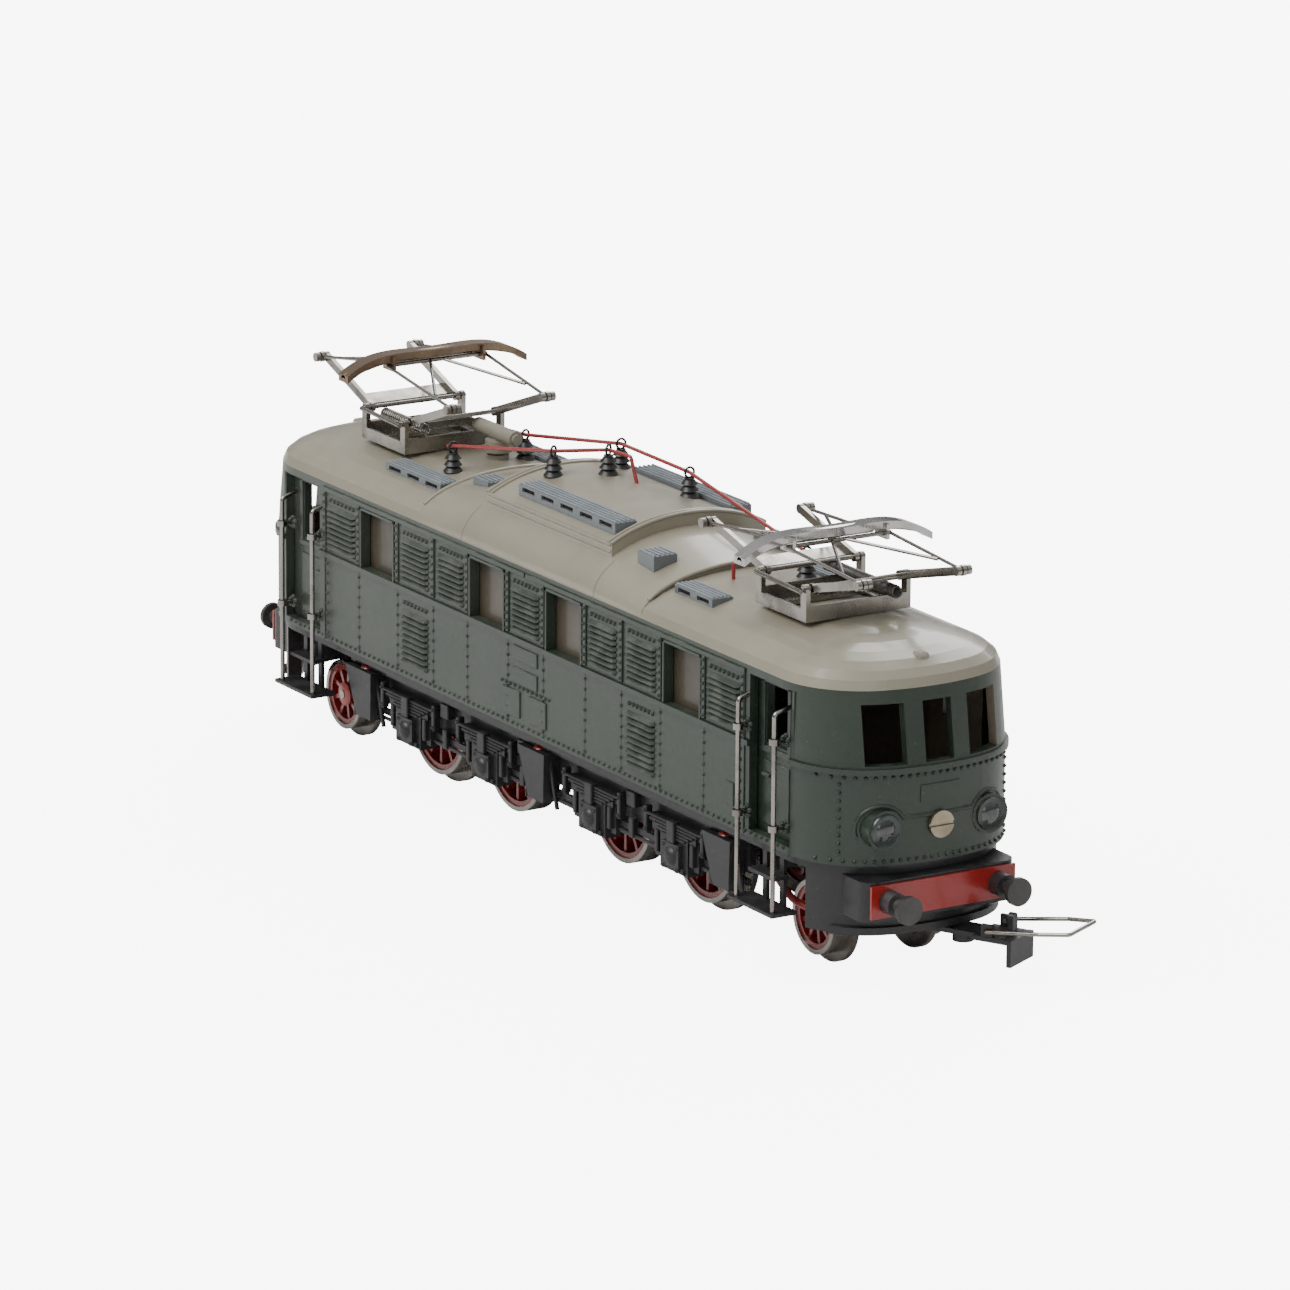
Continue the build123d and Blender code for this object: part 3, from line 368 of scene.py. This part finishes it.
plates = [[-3.9, 19.0, 32.1, 3.9, 19.22, 34.6], [-3.9, 19.0, 28.2, 3.9, 19.22, 30.9],
          [-7.2, 19.0, 22.4, -1.6, 19.25, 27.0], [1.2, 19.0, 22.4, 6.8, 19.25, 27.0],
          [62.0, 19.0, 24.2, 64.8, 19.2, 28.0]]
plates = np.array(plates) - [0, 0.3, 0, 0, 0, 0]
skin("body_plates", slabs(two_boxes(plates), 0.1), trim, smooth=30)


def column(x, low, high, pitch):
    """Points up the side wall at one x, a pitch apart."""
    z = np.arange(low, high, pitch)
    return np.stack([np.full_like(z, x), np.full_like(z, body_half), z], 1)


seams = [column(x, 21.9, 35.2, 1.75) for x in (*battens[:5], 66.6)]
seams += [column(x, 37.0, 46.4, 1.3) for x in battens]
seams += [np.stack([np.arange(1.0, 81.0, 1.6), np.full(50, body_half), np.full(50, 21.2)], 1)]
seams += [np.stack([np.arange(-7.6, 7.8, 1.4), np.full(11, body_half), np.full(11, 27.7)], 1)]
seam = four(np.concatenate(seams))
seam = seam[np.abs(seam[:, 0]) < 81]
lift = np.where(np.isin(np.abs(seam[:, 0]), battens) & (seam[:, 2] > 36), 0.3, 0.0)
seam[:, 1] += np.sign(seam[:, 1]) * lift
skin("side_rivets", studs(seam, seam * [0, 1, 0], 0.34, 0.36), trim)

nose_front, eaves_front = 95.0, 93.2
wide_r, corner_r = 34.0, 14.0


def nose_x(y, z):
    """Where the outside of a nose stands: a wide arc in the middle, a tighter one towards each side, and
    the whole leaning back from the belt to the eaves."""
    y, z = np.abs(np.asarray(y, float)), np.asarray(z, float)
    front = nose_front - (nose_front - eaves_front) * np.clip((z - belt) / (eaves - belt), 0, 1)
    centre = front - wide_r
    corner_y = body_half - corner_r
    corner_x = centre + sqrt((wide_r - corner_r) ** 2 - corner_y ** 2)
    wide = centre + np.sqrt(np.maximum(wide_r ** 2 - y ** 2, 0))
    tight = corner_x + np.sqrt(np.maximum(corner_r ** 2 - (y - corner_y) ** 2, 0))
    return np.where(y <= corner_y * wide_r / (wide_r - corner_r), wide, tight)


def ends(points):
    """The points and their mirror images at the other end: x becomes -x."""
    points = np.asarray(points, float)
    return np.concatenate([points, points * [-1, 1, 1]])


across_nose = np.linspace(-17.6, 17.6, 27)
bands = [np.stack([nose_x(across_nose, z), across_nose, np.full(27, z)], 1) for z in (34.7, 21.2)]
upright_rows = [np.stack([nose_x(np.full(9, y), 30.0), np.full(9, y), np.linspace(22.6, 33.6, 9)], 1)
                for y in (-15.4, 15.4)]
nose_rivets = np.concatenate(bands + upright_rows)
on_wide = np.abs(nose_rivets[:, 1]) < 8.5
arc_y = np.where(on_wide, 0.0, np.sign(nose_rivets[:, 1]) * 5.0)
arc_centre = np.stack([np.where(on_wide, 61.0, 80.4), arc_y, nose_rivets[:, 2]], 1)
nose_out = nose_rivets - arc_centre
skin("nose_rivets", studs(ends(nose_rivets), ends(nose_out), 0.38, 0.4), trim)


# ---- Nose mouldings
# Cast ridges on each nose: an eyebrow over each lamp that runs into a step line between them, the
# whole of it standing just proud of the nose, and a blank plate above the lamps.


def tube(path, radius, around=8, helper=(0.05, 0.1, 1.0)):
    """Round rod along a path of points: rings at right angles to the path, each radius * (cos, sin) in a
    frame turned from the helper direction."""
    path = np.asarray(path, float)
    along = np.gradient(path, axis=0)
    along /= np.linalg.norm(along, axis=-1, keepdims=True)
    first = np.cross(along, np.array(helper))
    first /= np.linalg.norm(first, axis=-1, keepdims=True)
    second = np.cross(along, first)
    turn = 2 * pi * np.arange(around) / around
    width = np.broadcast_to(np.asarray(radius, float), (len(path),))[:, None, None]
    return (path[:, None] + width * (first[:, None] * np.cos(turn)[None, :, None]
                                     + second[:, None] * np.sin(turn)[None, :, None]))[None]


bend = np.radians(np.linspace(200, 25, 19))
lamp_y, lamp_z, brow_r = 9.8, 26.4, 3.75
brow = np.stack([-lamp_y + brow_r * np.cos(bend), lamp_z + brow_r * np.sin(bend)], 1)
line = np.stack([np.linspace(-5.9, 5.9, 13), np.full(13, 28.1)], 1)
path = np.concatenate([brow, line, brow[::-1] * [-1, 1]])
moulding = np.stack([nose_x(path[:, 0], path[:, 1]) - 0.05, path[:, 0], path[:, 1]], 1)
skin("nose_mouldings", ends(tube(moulding, 0.34, 8, (1.0, 0.0, 0.02))), trim, smooth=60)
plate_y = np.linspace(-3.6, 3.6, 9)
plate_wall = nose_x(plate_y, 31.5)
ring = np.stack([np.stack([plate_wall + out, plate_y, np.full(9, z)], 1)
                 for out, z in ((-0.3, 30.2), (0.16, 30.25), (0.16, 33.0), (-0.3, 33.05))], 1)
skin("nose_plates", np.stack([ring, ring * [-1, 1, 1]]), trim, smooth=30)


# ---- Cab doors
# Door leaf set back between its posts: a frame around the window, a raised lower panel and a handle.
leaf = 17.2
door_strips = [[x0, leaf - 0.2, z0, x1, leaf + out, z1] for x0, z0, x1, out, z1 in (
    (70.3, 35.3, 71.2, 0.35, 46.8), (77.9, 35.3, 78.9, 0.35, 46.8), (70.3, 46.0, 78.9, 0.35, 46.8),
    (70.3, 34.7, 78.9, 0.45, 35.6), (70.8, 23.0, 78.4, 0.22, 33.4), (71.0, 30.8, 73.2, 0.75, 31.3))]
skin("door_frames", slabs(four_boxes(door_strips), 0.1), trim, smooth=30)


# ---- Window films
# Strips of film stuck behind the side windows, gone brown and opaque with age and dust. What backs
# the real windows is a guess.
film = coated("window_film", (0.085, 0.070, 0.048), (0.050, 0.040, 0.027), (0.14, 0.122, 0.09), 0.34,
              (0.07, 0.055, 0.035), -0.04, 0.25, 0.5)
film_boxes = [[middle - 5.7, 17.0, 35.7, middle + 5.7, 17.3, 46.5] for middle in (12.4, 49.1)]
skin("window_films", slabs(four_boxes(film_boxes), 0.05), film, smooth=30)


# ---- Roof casting
# Smooth die-cast roof in warm grey: end domes, a vaulted middle and a raised hood, hand-brushed
# with a satin gloss, and a few chips that show the dark metal.
grey = coated("roof_grey", (0.31, 0.285, 0.215), (0.27, 0.248, 0.185), (0.36, 0.335, 0.265), 0.30,
              (0.10, 0.09, 0.08), -0.06, 0.5, 0.2)
px, py = grey.parts(grey.place)[:2]
seam_line = grey.span(abs(abs(px) - (0.0212 + (grey.noise(130, 2) - 0.5) * 0.0016)), 0.00022, 0.0001)
seam_line = seam_line * grey.span(abs(py), 0.0146, 0.0152)
top = Mask(grey, grey.shader.inputs["Base Color"].links[0].from_socket)
# Painted shade: faces turned downwards, the underside and inside of the roof, are darkened to a brown-grey.
painted_underside_shade = grey.span(grey.parts(grey.node("ShaderNodeNewGeometry", out="Normal"))[2], -0.02, -0.2)
stain = grey.span(grey.noise(60, 6, 0.7), 0.56, 0.75) * 0.35
top = grey.blend(stain, top, (0.23, 0.21, 0.15))
top = grey.blend(seam_line * 0.7, top, (0.12, 0.115, 0.10))
grey.set({"Base Color": grey.blend(painted_underside_shade, top, (0.20, 0.18, 0.14))})
wear(grey, "roof_casting")


def hood_top(y):
    """Height of the hood's surface: an ellipse 20.6 wide and 11.4 high from the eaves."""
    return eaves + 11.4 * np.sqrt(1 - (y / 20.6) ** 2)


arch_y = np.linspace(-14.7, 14.7, 41)
arches = [np.stack([np.full(41, x), arch_y, hood_top(arch_y) + 0.02], 1) for x in (19.75, 18.7)]
ridges = [tube(arch, 0.38, 6, (1.0, 0, 0.01))[0] for arch in arches]
skin("hood_ridges", ends(np.array(ridges)), grey, smooth=70)
edge_x = np.linspace(-19.7, 19.7, 9)
edges = [tube(np.stack([edge_x, np.full(9, 14.6), np.full(9, z)], 1), 0.34, 6)[0] for z in (56.15, 55.0)]
skin("hood_edges", sides(np.array(edges)), grey, smooth=70)
step_y = np.linspace(-17.4, 17.4, 41)
step_z = eaves + 6.85 * np.sqrt(1 - (step_y / 18.95) ** 2)
steps = tube(np.stack([np.full(41, 36.0), step_y, step_z], 1), 0.42, 6, (1.0, 0, 0.01))
skin("roof_steps", ends(steps), grey, smooth=70)
lugs = [[87.6, -1.1, 50.0, 89.8, 1.1, 52.6], [-89.8, -1.1, 50.0, -87.6, 1.1, 52.6]]
skin("roof_lug", slabs(lugs, 0.35), grey, smooth=30)


# ---- Roof vents
# Cast ventilators brushed blue-grey: flat lids ribbed along their length over a row of dark slots.
blue = coated("vent_blue_grey", (0.17, 0.20, 0.225), (0.23, 0.26, 0.28), (0.33, 0.35, 0.36), 0.36,
              (0.40, 0.39, 0.33), 0.0, 0.3, 0.5)
# Painted shade: the vents' sides and undersides, every face not turned up, are darkened towards near black.
painted_side_shade = blue.span(blue.parts(blue.node("ShaderNodeNewGeometry", out="Normal"))[2], 0.25, -0.05)
lid = Mask(blue, blue.shader.inputs["Base Color"].links[0].from_socket)
blue.set({"Base Color": blue.blend(painted_side_shade * 0.55, lid, (0.07, 0.075, 0.075))})
wear(blue, "roof_vents")
vents = ((-55.5, -37.0, 9.9, 13.8, 53.7), (-31.5, -26.7, 6.4, 10.6, 55.78), (-12.5, 18.2, 8.9, 13.0, 59.14),
         (25.6, 30.6, 8.8, 13.2, 56.37), (38.0, 49.4, 9.9, 13.8, 53.7))
rib = 0.42
ribs = np.array([[x0 + 0.1, y, top_z - 0.3, x1 - 0.1, y + rib, top_z + 0.3]
                 for x0, x1, y0, y1, top_z in vents for y in np.linspace(y0 + 0.15, y1 - 0.57, 5)])
skin("vent_ribs", slabs(two_boxes(ribs), 0.12), blue, smooth=30)
# Painted shadow: near-black slabs set in the vent openings stand for the shade inside them.
slot_black = Paint("slot_shadow", Roughness=0.8)
slot_shadow_tone = slot_black.blend(slot_black.noise(500), (0.012, 0.008, 0.006), (0.03, 0.015, 0.01))
slot_black.set({"Base Color": slot_shadow_tone})
holes = []
for (x0, x1, y0, y1, top_z), count in zip(vents, (3, 0, 5, 0, 2)):
    pitch = (x1 - x0) / max(count, 1)
    holes += [[x0 + pitch * (n + 0.14), y1 - 0.86, top_z - 1.4,
               x0 + pitch * (n + 0.86), y1 - 0.52, top_z - 0.2] for n in range(count)]
skin("vent_slots", slabs(two_boxes(holes), 0.03), slot_black)


# ---- Insulators, busbars and main breaker
# Black moulded insulators carry the high-voltage wires, which are brushed bright red; the breaker
# on the rear roof is a grey-painted turning.
black_gloss = coated("insulator_black", (0.006, 0.006, 0.007), (0.012, 0.011, 0.011), (0.08, 0.075, 0.065),
                     0.38, (0.08, 0.07, 0.06), -0.03, 0.2, 0.25)
wear(black_gloss, "roof_insulators")
wire_red = coated("busbar_red", (0.36, 0.035, 0.035), (0.27, 0.025, 0.028), (0.45, 0.16, 0.13), 0.32,
                  (0.42, 0.38, 0.33), -0.01, 0.4, 0.3)
wear(wire_red, "roof_busbars")
breaker_grey = coated("breaker_grey", (0.29, 0.27, 0.21), (0.23, 0.215, 0.17), (0.36, 0.34, 0.28), 0.36,
                      (0.12, 0.11, 0.09), 0.0, 0.3, 0.4)
wear(breaker_grey, "main_breaker")


# ---- Chassis, side frames and pilots
# Cast black running gear with scuffed edges: springs, axleboxes, sandboxes and hangers in relief, and
# a pilot at each end that carries the red buffer beam.
soot = coated("frame_black", (0.009, 0.009, 0.010), (0.020, 0.020, 0.022), (0.07, 0.068, 0.064), 0.42,
              (0.20, 0.19, 0.18), -0.02, 0.2, 0.3)
wear(soot, "chassis_frame", "side_frames", "pilots", "cab_steps", "pony_truck_front", "pony_truck_rear",
     "coupler_front", "coupler_rear")
drive_z = 10.73
axle_places = (43.0, 17.4, -17.4, -43.0)
leaves, caps, bolts, hangers = [], [], [], []
for x in axle_places:
    for half, z in ((8.4, 15.3), (7.2, 14.75), (6.0, 14.2), (4.8, 13.65), (3.6, 13.1)):
        leaves.append([x - half, 16.1, z - 0.2, x + half, 17.0, z + 0.22])
    hangers += [[x - 9.1, 15.6, 11.9, x - 8.2, 16.9, 16.4], [x + 8.2, 15.6, 11.9, x + 9.1, 16.9, 16.4],
                [x - 1.1, 16.2, 12.4, x + 1.1, 17.5, 15.9], [x - 3.4, 16.2, 7.6, x + 3.4, 17.1, 8.5],
                [x - 5.9, 15.2, 9.4, x - 4.9, 16.8, 13.2], [x + 4.9, 15.2, 9.4, x + 5.9, 16.8, 13.2],
                [x + 10.2, 14.6, 9.2, x + 11.6, 15.9, 12.6], [x + 10.0, 14.6, 14.6, x + 12.6, 16.2, 17.2]]
    caps.append([x, 17.35, drive_z - 0.6])
    bolts += [[x + dx, 17.38, drive_z - 0.6 + dz] for dx in (-2.0, 2.0) for dz in (-2.0, 1.6)]
    bolts += [[x + dx, 16.9, 12.5] for dx in (-8.65, 8.65)] + [[x + dx, 16.9, 15.6] for dx in (-8.65, 8.65)]
rods = [[-62.0, 15.0, 9.2, 62.0, 15.55, 9.8]]
skin("spring_gear", slabs(two_boxes(leaves + hangers + rods), 0.15), soot, smooth=30)
caps = sides(caps)
skin("axlebox_caps", studs(caps, caps * [0, 1, 0], 1.7, 0.8, 14), soot, smooth=50)
bolts = sides(bolts)
skin("frame_bolts", studs(bolts, bolts * [0, 1, 0], 0.42, 0.34), soot)
sandbox_places = (-57.8, 0.0, 57.8)
t = np.linspace(0, 1, 10)
pipes = [tube(np.stack([x + side * (1 + 0.35 * t), np.full(10, 16.2) - 0.5 * t, 16.6 - 8.6 * t ** 0.8], 1),
              0.4, 6)[0] for x in sandbox_places for side in (-3.6, 3.6)]
skin("sand_pipes", sides(np.array(pipes)), soot, smooth=60)
lids = sides([[x, 16.2, 17.2] for x in sandbox_places])


# ---- Red paint of the wheels, filler cups and buffer beams
# Bright red enamel: glossy on the beam, where its edges are rubbed, and oily on the spoked centres.
beam_red = coated("beam_red", (0.34, 0.014, 0.010), (0.26, 0.011, 0.008), (0.34, 0.05, 0.04), 0.28,
                  (0.08, 0.03, 0.02), 0.01, 0.5, 0.2)
wear(beam_red, "buffer_beams")
wheel_red = coated("wheel_red", (0.30, 0.018, 0.014), (0.20, 0.012, 0.010), (0.36, 0.07, 0.06), 0.25,
                   (0.03, 0.012, 0.01), 0.0, 0.7, 0.2)
wear(wheel_red, *[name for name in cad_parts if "_wheels_" in name])
fillers = studs(lids, lids * [0, 1, 0] + [0, 0, 26], 1.55, 0.9, 12)
skin("sandbox_fillers", fillers, wheel_red)
hub_red = coated("hub_red", (0.52, 0.085, 0.075), (0.44, 0.06, 0.05), (0.5, 0.2, 0.17), 0.3, coat=0.5,
                 dust_and_highlight_amount=0.2)
for end, sign in (("front", 1), ("rear", -1)):
    hubs = sides([[sign * 75.7, 10.75, 7.6]])
    skin(f"pony_hubs_{end}", studs(hubs, hubs * [0, 1, 0], 2.1, 0.32, 20), hub_red, f"pony_set_{end}")


# ---- Tyres, axles and gears
# Nickel-plated turned tyres with fine turning marks, steel axles and brass spur gears.


def bare_metal(name, tone, shade, gloss, metallic=1.0):
    """Plated or turned metal with cloudy tarnish, grime and a fine grain."""
    paint = Paint(name)
    tarnish = paint.span(paint.noise(170, 5), 0.38, 0.75)
    lines = paint.noise(1200, 3, 0.7)
    grime = paint.span(paint.noise(90, 6, 0.65), 0.55, 0.72)
    rough = tarnish * 0.16 + lines * 0.12 + grime * 0.12 + (gloss - 0.08)
    paint.set({"Base Color": paint.blend(grime * 0.6, paint.blend(tarnish * 0.5, tone, shade), shade),
               "Metallic": metallic, "Roughness": rough})
    paint.bump(lines, 0.25, 0.00006)
    return paint


tyre_metal = bare_metal("tyre_nickel", (0.38, 0.36, 0.33), (0.15, 0.13, 0.11), 0.20)
wear(tyre_metal, *[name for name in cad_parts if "_tyres_" in name or "_axle_" in name])
brass = bare_metal("gear_brass", (0.62, 0.45, 0.19), (0.36, 0.24, 0.09), 0.34)
wear(brass, "centre_gear", "idler_gear_front", "idler_gear_rear")
dark_iron = bare_metal("dark_iron", (0.16, 0.15, 0.14), (0.07, 0.06, 0.055), 0.45)
wear(dark_iron, "armature", "motor_field", "reversing_relay")
board = coated("brush_board", (0.13, 0.055, 0.022), (0.09, 0.038, 0.016), (0.2, 0.14, 0.1), 0.45, coat=0.1,
               dust_and_highlight_amount=0.3)
wear(board, "brush_gear")


# ---- Buffers, screws, handrails
# Turned steel buffers blackened by handling, a slotted brass screw that holds the body at each end,
# and nickel wire handrails with ring collars.
buffer_black = bare_metal("buffer_dark", (0.075, 0.073, 0.072), (0.15, 0.145, 0.14), 0.42, 0.7)
wear(buffer_black, "buffers")
screw_metal = bare_metal("screw_nickel", (0.42, 0.37, 0.27), (0.16, 0.10, 0.05), 0.36)
wear(screw_metal, "body_screws")
nickel = bare_metal("nickel_wire", (0.36, 0.34, 0.31), (0.12, 0.105, 0.09), 0.20)
arms = [f"panto_{arm}_{end}_{side}" for arm in ("lower", "upper") for end in ("front", "rear")
        for side in "ab"]
wear(nickel, "handrails", "coupler_bail_front", "coupler_bail_rear", "panto_base_front",
     "panto_base_rear", *arms)
shoe_metal = bare_metal("shoe_steel", (0.50, 0.49, 0.46), (0.32, 0.30, 0.28), 0.35)
wear(shoe_metal, "pickup_shoe", "panto_springs")
stars = []
for x in (68.7, 79.3):
    for z in (24.5, 38.6):
        stars += [[x + 0.75 * cos(a), body_half - (0.0 if x < 70 else 0.35), z + 0.75 * sin(a)]
                  for a in np.arange(5) * 2 * pi / 5 + 0.3]
stars = four(stars)
skin("rail_brackets", studs(stars, stars * [0, 1, 0], 0.5, 0.5, 8), trim, smooth=60)


# ---- Lamps
# A domed clear lens in each round collar, over a dark reflector.
glass = Paint("lamp_glass", Roughness=0.06, IOR=1.5, Coat_Weight=0.6)
haze = glass.span(glass.noise(260, 3), 0.4, 0.7)
glass.set({"Base Color": glass.blend(haze, (0.045, 0.05, 0.05), (0.10, 0.105, 0.10)), "Metallic": 0.35})
wear(glass, "headlamp_lenses")
lens_places = four([[94.25, lamp_y, lamp_z]])
skin("lamp_domes", studs(lens_places, lens_places * [1, 0, 0], 2.15, 0.75, 24), glass, smooth=60)
bulb = Paint("bulb_glass", Roughness=0.1, Coat_Weight=0.4)
bulb.set({"Base Color": bulb.blend(bulb.noise(300), (0.5, 0.48, 0.42), (0.3, 0.28, 0.24))})
wear(bulb, "lamp_bulbs")
turn = np.linspace(0, 2 * pi, 33)[:-1]
rims = [[np.stack([np.full(32, x * sign_x), sign_y * lamp_y + r * np.cos(turn), lamp_z + r * np.sin(turn)], 1)
         for x, r in ((94.5, 2.75), (94.85, 2.6), (94.6, 2.2))] for sign_x in (1, -1) for sign_y in (1, -1)]
rim_paint = coated("lamp_rim", (0.02, 0.034, 0.028), (0.012, 0.02, 0.017), (0.1, 0.12, 0.1), 0.3, coat=0.5,
                   dust_and_highlight_amount=0.3)
skin("lamp_rims", np.array(rims), rim_paint, smooth=60)


# ---- Lamp lead
# Red insulated wire that runs from the chassis past the pony wheel into the front pilot.
lead_red = coated("lead_red", (0.38, 0.028, 0.02), (0.30, 0.02, 0.015), (0.4, 0.1, 0.08), 0.38, coat=0.2,
                  dust_and_highlight_amount=0.2)
wear(lead_red, "lamp_lead")


# ---- Pantographs
# Nickel-plated sheet and wire. Each contact bow is a half-round strip with down-curved horns; the
# front one is bright and the rear one bronze. Raising springs are wound from steel wire.
bow_nickel = bare_metal("bow_nickel", (0.56, 0.55, 0.53), (0.30, 0.29, 0.27), 0.12)
bow_bronze = bare_metal("bow_bronze", (0.24, 0.17, 0.115), (0.13, 0.088, 0.058), 0.28, 0.85)
base_z, pantograph_x = 54.3, 63.4


def bow_strip(middle_x, top_z):
    """Half-round strip: the section is a flattened arc, carried along y on a line that stays level and then
    drops as the power 3.4 of the way out towards the horns, narrowing at the tips."""
    half_length = 17.6
    y = np.linspace(-half_length, half_length, 61)
    share = np.abs(y) / half_length
    line = top_z - 2.75 * share ** 3.4
    width = 1.6 * np.clip(1.0 - 0.55 * np.clip((share - 0.72) / 0.28, 0, 1) ** 1.5, 0.3, 1)
    angle = np.radians(np.concatenate([np.linspace(0, 180, 11), np.linspace(165, 15, 6)]))
    out = np.where(np.arange(17) < 11, np.sin(angle) * 1.12, np.sin(angle) * 0.5)
    ring = np.empty((61, 17, 3))
    ring[..., 0] = middle_x + width[:, None] * np.cos(angle)[None]
    ring[..., 1] = y[:, None]
    ring[..., 2] = line[:, None] - 1.14 + out[None]
    return ring[None]


for end, sign, paint, slot in (("front", 1, bow_nickel, "nickel"), ("rear", -1, bow_bronze, "bow_bronze")):
    low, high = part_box(f"panto_bow_{end}")
    skin(f"bow_strip_{end}", bow_strip(sign * pantograph_x, high.z / mm), paint, f"bow_{end}",
         smooth=60)
    wear(paint, f"panto_bow_{end}")

link_z = base_z + 5.3
links = [tube([[x0 + dx, -10.35, link_z - drop] for dx, drop in ((-6.6, 0.0), (-2.0, 0.1), (6.6, 0.4))],
              0.42)[0] for x0 in (pantograph_x, -pantograph_x)]
skin("crank_links", np.array(links), nickel, smooth=60)


def coil(x0, x1, y, z, radius, wire, turns):
    """Helix along x: y and z turn with the angle, y = radius * cos and z = radius * sin, as x goes evenly."""
    t = np.linspace(0, 1, int(turns * 14))
    angle = 2 * pi * turns * t
    path = np.stack([x0 + (x1 - x0) * t, y + radius * np.cos(angle), z + radius * np.sin(angle)], 1)
    return tube(path, wire, 6, (1.0, 0.01, 0.02))


spring_z = base_z + 2.6 + 1.1
dark_wire = bare_metal("spring_dark", (0.16, 0.155, 0.15), (0.09, 0.085, 0.08), 0.36)
skin("front_spring", coil(pantograph_x - 10.4, pantograph_x + 10.2, 5.4, spring_z, 0.88, 0.2, 44), dark_wire,
     smooth=80)
skin("rear_spring", coil(-pantograph_x - 7.2, -pantograph_x + 6.8, -5.4, spring_z, 0.85, 0.23, 22), nickel,
     smooth=80, replace=("panto_springs",))


# ---- Floor and light
# Pale studio floor that glows white to the camera only, with a large soft key from above, a fill from
# the front and a rim from behind.
floor_paint = Paint("studio_floor", Roughness=0.65, Emission_Strength=7.0)
seen = floor_paint.node("ShaderNodeLightPath")
floor_paint.set({"Emission Color": floor_paint.blend(seen, (0.0, 0.0, 0.0), (1.0, 1.0, 1.0))})
clouds = floor_paint.blend(floor_paint.noise(3), (0.80, 0.79, 0.785), (0.83, 0.825, 0.82))
floor_paint.set({"Base Color": clouds})
floor_half = 6
u = np.linspace(-1, 1, 40) * floor_half
ground_x, ground_y = np.meshgrid(u, u, indexing="ij")
mesh = bpy.data.meshes.new("floor")
index = np.arange(1600).reshape(40, 40)
squares = np.stack([index[:-1, :-1], index[1:, :-1], index[1:, 1:], index[:-1, 1:]], -1)
ground = np.stack([ground_x, ground_y, np.zeros_like(ground_x)], -1)
mesh.from_pydata(ground.reshape(-1, 3).tolist(), [], squares.reshape(-1, 4).tolist())
mesh.materials.append(floor_paint.material)
floor = bpy.data.objects.new("floor", mesh)
bpy.context.collection.objects.link(floor)
world = bpy.data.worlds.new("studio")
world.use_nodes = True
nodes, links_made = world.node_tree.nodes, world.node_tree.links
height = nodes.new("ShaderNodeSeparateXYZ")
links_made.new(nodes.new("ShaderNodeTexCoord").outputs["Generated"], height.inputs[0])
sky = nodes.new("ShaderNodeValToRGB")
sky.color_ramp.elements[0].position, sky.color_ramp.elements[0].color = 0.02, (0.16, 0.16, 0.17, 1)
sky.color_ramp.elements[1].position, sky.color_ramp.elements[1].color = 0.75, (1.0, 0.995, 0.985, 1)
links_made.new(height.outputs[2], sky.inputs[0])
links_made.new(sky.outputs[0], nodes["Background"].inputs["Color"])
nodes["Background"].inputs["Strength"].default_value = 0.75
bpy.context.scene.world = world
for name, place, size, power in (("key", (-0.10, -0.80, 1.10), 0.9, 15), ("fill", (1.3, -0.5, 0.5), 0.5, 1.2),
                                 ("rim", (-0.7, 0.9, 0.9), 0.8, 10)):
    lamp = bpy.data.objects.new(name, bpy.data.lights.new(name, "AREA"))
    bpy.context.collection.objects.link(lamp)
    lamp.data.size, lamp.data.energy = size, power
    lamp.location = place
    lamp.rotation_euler = (Vector((0, 0, 0.03)) - lamp.location).to_track_quat("-Z", "Y").to_euler()

bpy.context.view_layer.update()
